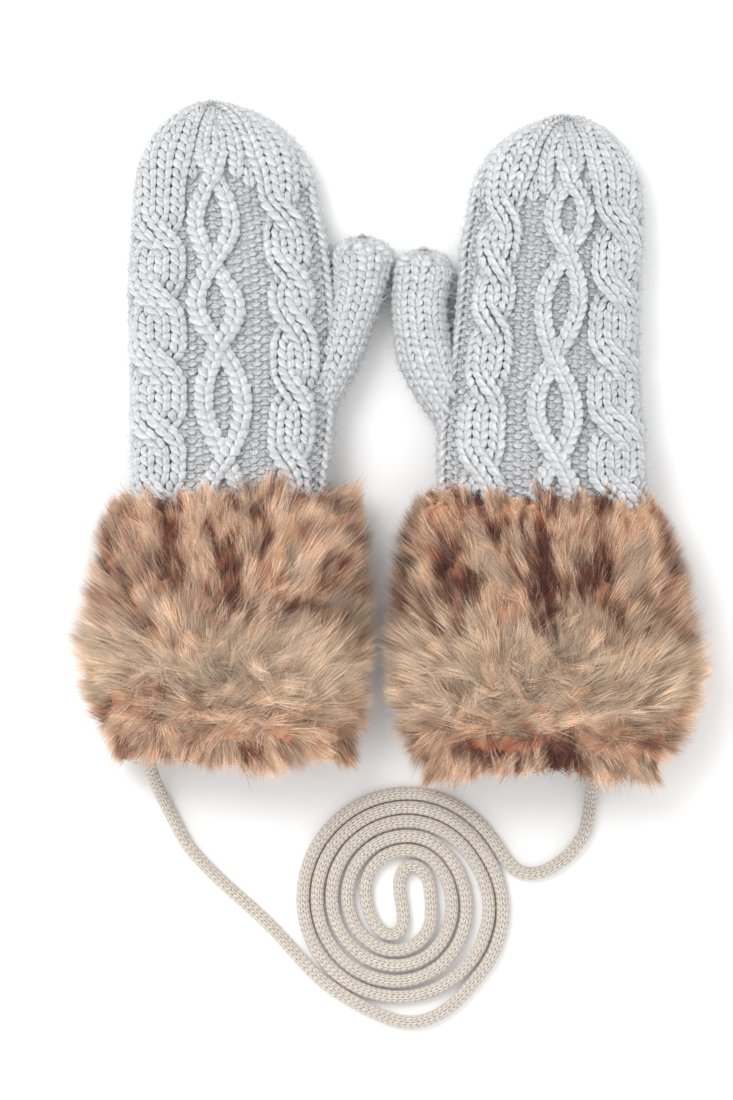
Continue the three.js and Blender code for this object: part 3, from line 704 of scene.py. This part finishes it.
# A form of stitch: its middle line across, in leg widths, and along, in rows, its height and half thickness
LEG = dict(
    across=np.array([0.42, 0.36, 0.18, 0.0, -0.10, -0.12, -0.02]),
    rows=np.array([-0.50, -0.30, 0.02, 0.42, 0.82, 1.14, 1.36]),
    height=np.array([-1.9, -0.9, 0.15, 0.60, 0.25, -0.9, -2.0]),
    thick=np.array([0.1, 0.28, 0.46, 0.53, 0.47, 0.29, 0.1]),
)
ARC = dict(
    across=np.array([-0.85, -0.55, -0.22, 0.22, 0.55, 0.85]),
    rows=np.array([-0.24, -0.06, 0.08, 0.08, -0.06, -0.24]),
    height=np.array([-1.2, -0.2, 0.35, 0.35, -0.2, -1.2]),
    thick=np.array([0.1, 0.28, 0.36, 0.36, 0.28, 0.1]),
)


class Columns:
    """Where the columns of legs lie round a tube, as shares of its girth. Dropped ones narrow away."""

    def __init__(self, v, weights):
        self.count, self.v = weights.shape[1], v
        self.width = weights / weights.sum(1, keepdims=True)
        self.edge = np.hstack([np.zeros((len(v), 1)), np.cumsum(self.width, 1)])

    def share(self, place, v):
        """place counts columns, and a column's middle is at a whole number."""
        i, s = row_of(self.v, v)
        turns, e = np.divmod(place + 0.5, self.count)
        j = np.clip(e.astype(int), 0, self.count - 1)
        found = [mixed(self.edge[row, j], self.edge[row, j + 1], e - j) for row in (i, i + 1)]
        return turns + mixed(*found, s)

    def width_at(self, index, v):
        i, s = row_of(self.v, v)
        index = np.broadcast_to(np.mod(np.round(index), self.count).astype(int), np.shape(v))
        return mixed(self.width[i, index], self.width[i + 1, index], s)


# The crown's decreases: which stitch of four narrows to nothing, and from where to where
DECREASES = ((1, 248, 266), (3, 273, 288), (2, 290, 301))


def hand_columns(v):
    """How wide each column of legs is, up to the crown, whose decreases are alike on back and palm."""
    stitch = np.arange(LEGS) // 2
    weights = 1.0
    for which, low, high in DECREASES:
        weights = weights * np.where(stitch % 4 == which, 1 - smoothstep(v[:, None], low, high), 1.0)
    halves = np.split(weights + 1e-4, 2, 1)
    return np.hstack([half / half.sum(1, keepdims=True) for half in halves])


def wander(seed, scale):
    """A smooth field over a plane, about -1 to 1, made of a few seeded waves."""
    rng = np.random.default_rng(seed)
    turn, phase = rng.uniform(0, 2 * math.pi, 9), rng.uniform(0, 2 * math.pi, 9)
    number = 2 * math.pi / (scale * rng.uniform(0.6, 1.8, 9))

    def field(x, y):
        waves = [
            np.sin(n * (x * math.cos(t) + y * math.sin(t)) + p) for n, t, p in zip(number, turn, phase)
        ]
        return np.clip(sum(waves) / 2.6, -1.3, 1.3)

    return field


def chart(index, rows, keep):
    """The columns and rows of every stitch, or of those alone that keep says."""
    i, r = every(index, rows)
    if keep is None:
        return i, r
    kept = keep(i, r)
    return i[kept], r[kept]


def diamond_lines(mitten, v):
    """The places of the diamond's two strands, and how high each lies where they cross."""
    heights = [row[0] for row in mitten["diamond"]]
    last = heights[-1]
    phase = np.interp(v, heights, np.arange(len(heights)))
    centre = np.interp(v, heights + [last + 12], [row[1] for row in mitten["diamond"]] + [15.5])
    after = smoothstep(v, last, last + 12)
    swing = DIAMOND_SWING * np.sin(math.pi * phase) + after * (-1.0) ** (len(heights) - 1)
    near = np.maximum(1 - np.abs(swing) / DIAMOND_CROSSING, 0)
    rise = np.where(np.cos(math.pi * phase) < 0, 1.0, -DIAMOND_CROSSING) * near
    fall = np.where(rise > 0, -DIAMOND_CROSSING, 1.0) * near
    return (centre + swing, rise), (centre - swing, fall)


class Knitting:
    """Sews stitches round a tube into one shape, each a little uneven by seeded chance."""

    def __init__(self, mitten, tube, columns, pitch, seed):
        self.tube, self.columns, self.pitch = tube, columns, pitch
        self.way = mitten["mirror"]
        self.sag = wander(mitten["seed"], SAG_SCALE)
        self.rng = np.random.default_rng(seed)
        self.shape = Shape()

    def leans(self, number):
        """How far each leg leans, and which way. Twisted yarn slants one leg of a stitch more."""
        slanted = int(self.way > 0)
        return (1.0 - 2.0 * (number % 2)) * np.where(number % 2 == slanted, SLANTED, STEEP)

    def sew(self, form, index, row, place, lift, hand, sides=6, wide=1.0, light=1.0):
        """Adds one body a leg. place and lift are asked with the leg's own distances along the tube."""
        rng = self.rng
        v = row[:, None] + form["rows"] * self.pitch
        where = place(v)
        v = v + SAG * self.sag(3.8 * where, v)
        width = self.columns.width_at(index[:, None], v)
        share = self.columns.share(where, v) + wide * hand[:, None] * form["across"] * width
        points, out = self.tube.at(share, v)
        size = width * self.tube.girth(v)
        height = form["height"] + lift(v) + rng.normal(0, 0.10, (len(row), 1))
        points = points + out * height[..., None]
        thick = wide * form["thick"] * np.maximum(size, 1.6) * rng.uniform(0.92, 1.08, (len(row), 1))
        tone = light * np.ones((len(row), 3)) * rng.uniform(0.86, 1.10, (len(row), 1))
        kept = size.max(1) > NARROWEST_LEG
        points, out, thick, tone = points[kept], out[kept], thick[kept], tone[kept]
        uneven = rng.normal(0, 0.13, (len(points), len(form["rows"]) - 2, sides))
        spindles(self.shape, points, out, thick, sides, tone, uneven)
        loose_fibres(self.shape, points, out, thick, tone, rng)

    def plain(self, index, rows, sides=6, keep=None):
        """Straight columns of V stitches: an even leg leans one way and an odd leg the other."""
        i, r = chart(index, rows, keep)
        r = r + self.rng.normal(0, 0.12, len(r))
        self.sew(LEG, i, r, lambda v: i[:, None] + 0.0 * v, lambda v: np.full(v.shape, KNIT_DEPTH),
                 self.leans(i), sides)

    def purl(self, index, rows, keep=None):
        """Purl ground: bumps that lie across, arched up and down by turns, their tone painted darker as
        shade where they sit deep.
        """
        i, r = chart(index, rows, keep)
        for odd in (0, 1):
            some = i % 2 == odd
            form = dict(ARC, rows=ARC["rows"] * (1 - 2 * odd))
            self.sew(form, i[some], r[some] + 0.5 * self.pitch * odd, lambda v: i[some][:, None] + 0.0 * v,
                     lambda v: np.full(v.shape, PURL_DEPTH), np.ones(some.sum()), 5, light=PURL_PAINTED_SHADE)

    def rope(self, band, crossings, rows):
        """A rope cable: the two halves of a band swap places at each crossing, one over the other."""
        first, count = band
        half = count // 2
        strand, r = every(np.arange(count), rows)
        low = (strand < half)[:, None]
        own = (strand % half)[:, None] - (half - 1) / 2

        def follow(v):
            middle = np.where(low, 0, half) + np.zeros(v.shape) + (half - 1) / 2
            lift = np.zeros(v.shape)
            hump = np.zeros(v.shape)
            for number, height in enumerate(crossings):
                swap = smoothstep(v, height - CROSS_REACH, height + CROSS_REACH)
                climbs = low if number % 2 == 0 else ~low
                middle = middle + np.where(climbs, half, -half) * swap
                lift += 4 * swap * (1 - swap) * np.where(climbs == (self.way > 0), FRONT_LIFT, -BACK_DROP)
                hump += 4 * swap * (1 - swap)
            place = middle + own * (1 + CROSS_SPREAD * hump)
            arch = ROPE_ARCH * np.sin(math.pi * np.clip(place + 0.5, 0.05, count - 0.05) / count) ** 0.6
            bow = STRAND_ARCH * np.cos(math.pi * own / half)
            return first + place, KNIT_DEPTH + lift + arch + bow

        self.sew(LEG, first + strand, r + self.rng.normal(0, 0.1, len(r)), lambda v: follow(v)[0],
                 lambda v: follow(v)[1], self.leans(strand))
        near = np.min(np.abs(rows[:, None] - np.array(crossings)), 1) < 0.75 * CROSS_REACH
        self.purl([first, first + count - 1], rows[near])

    def diamond(self, mitten, rows):
        """Two strands that part and cross on a purl ground, and run out in plain columns at the crown."""
        for which in (0, 1):
            side, r = every([-0.5, 0.5], rows)
            index = np.round(diamond_lines(mitten, r)[which][0] + side)
            over = smoothstep(r, PLAIN_FROM + 8, PLAIN_FROM + 20)[:, None]
            wide = DIAMOND_WIDE - (DIAMOND_WIDE - 1) * over
            self.sew(LEG, index, r + self.rng.normal(0, 0.1, len(r)),
                     lambda v: diamond_lines(mitten, v)[which][0] + wide * side[:, None],
                     lambda v: KNIT_DEPTH + DIAMOND_LIFT * (1 - over) + diamond_lines(mitten, v)[which][1],
                     self.leans((side + 0.5).astype(int)), wide=wide)

        def bare(i, r):
            return np.all([np.abs(i - line) > 0.85 for line, _ in diamond_lines(mitten, r)], 0)

        low = rows < PLAIN_FROM + 5
        self.purl(PANEL, rows[low], bare)
        self.plain(PANEL_EDGES, rows[~low])


def hand_knit(mitten):
    """The back with its cables and the plain palm, every leg of a stitch a body of yarn."""
    tube = hand_tube(mitten)
    end = BODY_LENGTH + CROWN_ARC
    v = np.linspace(KNIT_START - 6, end, 120)
    rows = np.arange(KNIT_START, end - 2, ROW)
    low = rows < PLAIN_FROM
    knit = Knitting(mitten, tube, Columns(v, hand_columns(v)), ROW, mitten["seed"])
    knit.plain(SIDE_PLAIN, rows)
    knit.plain(PALM, rows, sides=5)
    knit.purl(SIDE_PURL, rows[low])
    knit.plain(SIDE_PURL, rows[~low])
    knit.rope(INNER_ROPE, mitten["inner_crossings"], rows)
    knit.rope(OUTER_ROPE, mitten["outer_crossings"], rows)
    knit.diamond(mitten, rows)
    piece = knit.shape.mesh(mitten["side"] + "_hand_knit", [knit_yarn], mitten)
    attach(piece, "root")
    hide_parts(mitten["side"] + "_hand")
    return tube


SHELL_DEPTH = 2.8
SHELL_RISE = 0.7
SHELL_ROWS = 64


def shell(mitten, tube, name, node_names, ends, around):
    """The knit's body behind the stitches, with its inner side and, at the open end, its lip."""
    v, share = np.meshgrid(np.linspace(*ends, SHELL_ROWS), np.arange(around) / around, indexing="ij")
    points, out = tube.at(share, v)
    rising = SHELL_RISE * smoothstep(v, ends[1] - 24, ends[1] - 5)
    outer = points - SHELL_DEPTH * out * (1 - rising)[..., None]
    inner = points - KNIT_WALL * out
    outer[-1] = outer[-1].mean(0)
    inner[-1] = inner[-1].mean(0)
    shape = Shape()
    skin(shape, np.concatenate([inner[::-1], outer]), (120, around), (0.9, 0.9, 0.9))
    piece = shape.mesh(mitten["side"] + name, [knit_back], mitten)
    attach(piece, "root")
    if node_names:
        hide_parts(*node_names)


def thumb_knit(mitten):
    """The thumb in plain knit. Stitches that would be inside the hand are left out."""
    tube = thumb_tube(mitten)
    start, end = BODY_LENGTH * mitten["thumb"][0][0], BODY_LENGTH * mitten["thumb"][-1][0]
    last = tube.v[-1]
    v = np.linspace(start, last, 80)
    index = np.arange(THUMB_LEGS)
    weights = np.where(index // 2 % 2 == 1, 1 - smoothstep(v[:, None], end - 1, end + 10), 1.0) + 1e-4
    knit = Knitting(mitten, tube, Columns(v, weights), THUMB_ROW, mitten["seed"] + 1)

    def outside(i, r):
        points, _ = tube.at(knit.columns.share(i.astype(float), r), r)
        middle, half, low, high = hand_sizes(mitten, points[:, 1])
        across = np.abs((points[:, 0] - middle) / half) ** HAND_FULLNESS
        tall = np.abs((points[:, 2] - (low + high) / 2) / ((high - low) / 2)) ** HAND_FULLNESS
        return across + tall > 0.86

    knit.plain(index, np.arange(start + 1, last - 1, THUMB_ROW), keep=outside)
    piece = knit.shape.mesh(mitten["side"] + "_thumb_knit", [knit_yarn], mitten)
    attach(piece, "root")
    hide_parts(mitten["side"] + "_thumb")
    shell(mitten, tube, "_thumb_lining", [], (start + 4, last), 32)


# Fur
# Dark patches of the hair, and on the right cuff one painted shadow along its edge: x, y over the hem, half
# sizes and strength, in each mitten's own frame
LEFT_PATCHES = [
    (-34, 108, 3, 8, 0.8), (-28, 91, 4, 10, 0.9), (-42, 82, 4, 8, 0.8), (-34, 75, 6, 5, 0.8),
    (-9, 98, 3, 8, 0.9), (-3, 85, 5, 7, 1.4), (0, 70, 4, 9, 1.0), (-2, 57, 5, 6, 0.7),
    (13, 106, 3, 9, 0.8), (16, 89, 4, 9, 1.0), (22, 76, 5, 6, 0.8), (33, 65, 8, 4, 0.7),
    (42, 73, 6, 4, 0.7), (-48, 18, 7, 4, 0.7), (-30, 25, 8, 3, 0.6), (-8, 27, 9, 3, 0.6),
    (-54, -4, 5, 5, 0.9), (-19, 0, 5, 5, 0.8), (9, -8, 5, 6, 1.0), (29, -2, 4, 5, 0.8),
    (63, -5, 4, 6, 0.9), (-62, 90, 4, 14, 0.7), (-55, 70, 4, 8, 0.6), (66, 84, 3, 16, 0.8),
    (29, 90, 13, 9, -0.9), (-30, 64, 9, 6, -0.7), (19, 49, 20, 5, -0.7), (-58, 45, 6, 8, -0.4),
    (49, 57, 9, 7, -0.6),
]
RIGHT_PATCHES_AND_SHADOW = [
    # (73, 78, 5, 25, 1.2) is painted shadow along this cuff's edge beside the left mitten, not a marking.
    (48, 90, 8, 20, 0.9), (73, 78, 5, 25, 1.2), (3, 98, 6, 20, 1.3), (24, 105, 5, 8, 0.9),
    (36, 118, 4, 8, 1.0), (-30, 117, 4, 7, 1.0), (-23, 87, 7, 12, 1.0), (-1, 66, 5, 12, 1.1),
    (-12, 79, 10, 5, 1.0), (-32, 63, 7, 8, 0.7), (35, 79, 9, 7, 0.9), (-63, 92, 4, 12, 1.0),
    (-67, 57, 8, 3, 0.8), (33, 0, 16, 6, 1.4), (-9, -2, 12, 9, 1.2), (12, 6, 12, 4, 0.8),
    (-47, 3, 9, 6, 0.8), (0, 30, 60, 5, 0.3), (-9, 97, 6, 12, -0.9), (-16, 69, 8, 8, -0.6),
    (-40, 96, 8, 14, -0.6), (28, 88, 6, 14, -0.6), (58, 92, 6, 14, -0.5),
]
HAIR_GREY = np.array([0.78, 0.545, 0.42])
HAIR_WARM = np.array([0.88, 0.49, 0.285])
HAIR_BROWN = np.array([0.38, 0.115, 0.055])
HAIR_DARK = np.array([0.10, 0.026, 0.020])
HAIR_PALE = np.array([0.99, 0.82, 0.61])

LOCKS = 3300
HAIRS = 46
LOCK_SPREAD = 2.5
TIP_SPREAD = 0.9
HAIR_WIDTH = 0.40
CROSSING_SHARE = 0.22
TOP_SHARE = 0.66
FLOW_LINE = 17
FRAY = 8
TOP_END = 109
LOW_END = -6


def fur_cuff(mitten, patches):
    """Locks of flat, tapering hairs, each one thin triangle, on a mass of under-hair."""
    rng = np.random.default_rng(mitten["seed"] + 2)
    inner, outer = cuff_tube(mitten, 0.0), cuff_tube(mitten, 1.0)
    band = mitten["cuff_length"] + CUFF_OVERHANG

    def at(share, v, pile):
        low, _ = inner.at(share, v)
        high, out = outer.at(share, v)
        points = low + (high - low) * pile[..., None]
        points[..., 2] = np.maximum(points[..., 2], 0.15)
        return points, out

    drift, swirl, streak, fray = (
        wander(mitten["seed"] + k, scale) for k, scale in ((3, 60), (4, 42), (6, 13), (7, 12))
    )

    def flow(x, y):
        """Which way the hair lies: 0 is to the fingertips, a half turn is to the hem."""
        line = FLOW_LINE + 6 * drift(x, 0 * y)
        turned = 1 - smoothstep(y, line - 9, line + 12)
        sweep = np.where(swirl(x, 0 * y) + 0.012 * x > 0, 1.0, -1.0)
        return sweep * (math.pi * turned) + 0.34 * drift(x, y) + 0.26 * swirl(y, x)

    def darkness(x, y):
        """Dark bands that follow the hair, stronger over the upper part, with each cuff's own patches, and
        on the right cuff a painted shadow along one edge.
        """
        upper = smoothstep(y, 42, 68)
        vein = streak(1.3 * x + 6 * drift(0.9 * y, 0.9 * x), 0.5 * y + 5 * swirl(x, 0.7 * y))
        dark = (0.40 + 0.26 * upper) * smoothstep(vein, 0.1, 0.9) + 0.30 * streak(2.6 * x, 1.1 * y) - 0.05
        bent = x + 2.2 * streak(1.2 * y, 0.8 * x)
        for px, py, rx, ry, strength in patches:
            dark = dark + strength * np.exp(-((bent - px) / rx) ** 2 - ((y - py) / ry) ** 2)
        pale = smoothstep(y, 12, 26) * (1 - smoothstep(y, 50, 66))
        return np.clip(dark - 0.22 * pale, 0, 1), pale

    # One value a lock: where it grows, which way it lies, how long and how tall it is
    crossing = rng.random(LOCKS) < CROSSING_SHARE
    top = rng.random(LOCKS) < TOP_SHARE
    share = np.where(top, rng.uniform(-0.06, 0.56, LOCKS), rng.uniform(0.5, 1.0, LOCKS))
    v = np.where(crossing, rng.uniform(0.10, 0.40, LOCKS), rng.uniform(0.01, 0.985, LOCKS))
    points, _ = at(share, v, np.ones(LOCKS))
    x, y = points[:, 0], points[:, 1]
    angle = np.where(crossing, rng.choice([-1.0, 1.0], LOCKS) * rng.normal(1.45, 0.55, LOCKS),
                     flow(x, y) + rng.normal(0, 0.24, LOCKS))
    length = np.where(crossing, rng.uniform(16, 26, LOCKS), rng.uniform(17, 27, LOCKS))
    tall = rng.uniform(0.62, 1.18, LOCKS)
    light = rng.uniform(0.56, 1.34, LOCKS)
    tight = np.where(crossing, 0.5, rng.uniform(0.6, 1.1, LOCKS))
    curl = rng.normal(0, 0.20, LOCKS)
    seen_x, seen_y = x + 0.6 * length * np.sin(angle), y + 0.6 * length * np.cos(angle)
    _, pale = darkness(seen_x, seen_y)
    edge = smoothstep(y, 92, 108) + 1 - smoothstep(y, 2, 12)
    warm = 0.55 + 0.45 * streak(seen_y, seen_x) - 0.35 * pale + 0.35 * edge
    warm = np.clip(warm + rng.normal(0, 0.15, LOCKS), 0, 1)
    crest_x, crest = mitten["crest"]
    top_end = TOP_END + FRAY * fray(x, 0 * y) + crest * np.exp(-((x - crest_x) / 14) ** 2)
    low_end = LOW_END + FRAY * fray(0 * y, x)

    def each(values):
        return np.repeat(values, HAIRS)[:, None]

    # One row a hair, with its root and its tip: t is 0 at the root and 1 at the tip
    count = LOCKS * HAIRS
    t = np.array([0.0, 1.0])
    root_x, root_y = rng.normal(0, LOCK_SPREAD, (2, count, 1))
    tip_x, tip_y = rng.normal(0, TIP_SPREAD, (2, count, 1))
    reach = each(length) * rng.uniform(0.72, 1.12, (count, 1))
    rise = reach * np.cos(each(angle))
    room = np.where(rise > 0, each(top_end - y), each(y - low_end)) + rng.normal(0, 2.5, (count, 1))
    short = np.clip(np.maximum(room, 4) / np.maximum(np.abs(rise), 1e-3), 0.25, 1)
    bend = each(angle) + each(curl) * t + rng.normal(0, 0.10, (count, 1))
    off_x = reach * short * t * np.sin(bend) + each(tight) * mixed(root_x, tip_x, t)
    off_y = reach * short * t * np.cos(bend) + each(tight) * mixed(root_y, tip_y, t)
    shares = each(share) - off_x / outer.girth(each(v))
    along = np.clip(each(v) + off_y / band, -0.2, 1.2)
    pile = 0.22 + 0.88 * each(tall) * rng.uniform(0.90, 1.08, (count, 1)) * short ** 0.6 * t
    path, out = at(shares, along, pile)
    root, tip = path[:, 0], path[:, 1]
    forward = unit(tip - root)
    flat = unit(np.cross(out[:, 0], forward))
    up = np.cross(forward, flat)
    roll = rng.normal(0, 0.45, (count, 1))
    half = (flat * np.cos(roll) + up * np.sin(roll)) * HAIR_WIDTH / 2 * rng.uniform(0.6, 1.3, (count, 1))

    # A hair's tone runs from a root painted dark as shade in the pile to a pale tip or, in the dark patches,
    # to a dark tip
    dark, _ = darkness(each(x) + off_x, each(y) + off_y)
    dark = np.clip(1.2 * dark[..., None] + rng.normal(0, 0.22, (count, 1, 1)), 0, 1)
    base = mixed(HAIR_GREY, HAIR_WARM, each(warm)[..., None])
    base = mixed(base, HAIR_PALE, 0.35 * each(pale)[..., None])
    deep = mixed(HAIR_BROWN, HAIR_DARK, smoothstep(dark, 0.45, 0.95))
    hue = mixed(base, deep, dark * (0.7 + 0.3 * t[:, None]))
    tipped = t[:, None] * (1 - np.clip(1.6 * dark, 0, 1)) * np.minimum(rng.uniform(0, 1.2, (count, 1, 1)), 1)
    # Roots are painted at about a quarter of the tips' lightness: painted shade deep in the pile, times a
    # random lightness for each lock and hair.
    painted_root_shade_and_tone = (0.26 + 0.80 * t[:, None]) * each(light)[..., None] * rng.uniform(0.70, 1.30, (count, 1, 1))
    tone = mixed(hue, HAIR_PALE, tipped) * painted_root_shade_and_tone
    shape = Shape()
    slivers(shape, np.stack([root - half, root + half, tip], 1), [[0, 0], [0, 1], [1, 0.5]],
            tone[:, [0, 0, 1]])

    # Under-hair, closed on to the knit at both ends, with a lighter rim there: its tone is painted shade in
    # the deep middle and painted light at the rim, where the hairs' shadow falls
    rows = np.concatenate([[0.0, 0.004], np.linspace(0.02, 0.98, 33), [0.996, 1.0]])
    edge = np.minimum(np.clip(rows / 0.09, 0, 1), np.clip((1 - rows) / 0.06, 0, 1))[:, None] ** 0.5
    grid_v, grid_share = np.meshgrid(rows, np.arange(96) / 96, indexing="ij")
    lump = 0.06 * rng.standard_normal(grid_v.shape)
    under, _ = at(grid_share, grid_v, -0.06 + (0.66 + lump) * edge)
    dark, _ = darkness(under[..., 0], under[..., 1])
    painted_rim_light_and_shade = 1.3 - 0.75 * edge[..., None]
    skin(shape, under, (30, 120), mixed(HAIR_WARM * painted_rim_light_and_shade, HAIR_BROWN * 0.8, dark[..., None]))

    piece = shape.mesh(mitten["side"] + "_fur", [fur_hair], mitten)
    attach(piece, "root")
    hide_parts(mitten["side"] + "_fur_cuff")


for mitten, patches in ((LEFT, LEFT_PATCHES), (RIGHT, RIGHT_PATCHES_AND_SHADOW)):
    side = mitten["side"]
    hand = hand_knit(mitten)
    shell(mitten, hand, "_hand_lining", [side + "_wrist"], (0.0, BODY_LENGTH + CROWN_ARC), 64)
    thumb_knit(mitten)
    fur_cuff(mitten, patches)


# Floor and light
FLOOR_SIZE = 6.0
WORLD_STRENGTH = 1.10
KEY_ENERGY = 24.0
KEY_SIZE = 1.2
floor_mesh = bpy.data.meshes.new("floor")
corners = [(-1, -1), (1, -1), (1, 1), (-1, 1)]
floor_mesh.from_pydata([(FLOOR_SIZE * x, FLOOR_SIZE * y, 0.0) for x, y in corners], [], [(0, 1, 2, 3)])
floor = bpy.data.objects.new("floor", floor_mesh)
bpy.context.scene.collection.objects.link(floor)
floor_paint, floor_tree, floor_shader = new_material("floor_paint", 0.9, 0.0)
grain = node(floor_tree, "ShaderNodeTexNoise", Scale=40.0, Detail=2.0).outputs[0]
feed(floor_tree, floor_shader.inputs["Base Color"],
     blended(floor_tree, grain, (0.93, 0.93, 0.93), (0.95, 0.95, 0.95)))
floor_mesh.materials.append(floor_paint)

world = bpy.data.worlds.new("world")
world.use_nodes = True
world.node_tree.nodes["Background"].inputs["Color"].default_value = (1.0, 1.0, 1.0, 1.0)
world.node_tree.nodes["Background"].inputs["Strength"].default_value = WORLD_STRENGTH
bpy.context.scene.world = world
key_data = bpy.data.lights.new("key", "AREA")
key_data.shape = "DISK"
key_data.size = KEY_SIZE
key_data.energy = KEY_ENERGY
key = bpy.data.objects.new("key", key_data)
key.location = (-0.9, 0.9, 1.9)
key.rotation_euler = (math.radians(-27), math.radians(-27), 0.0)
bpy.context.scene.collection.objects.link(key)
bpy.context.scene.view_settings.view_transform = "Standard"
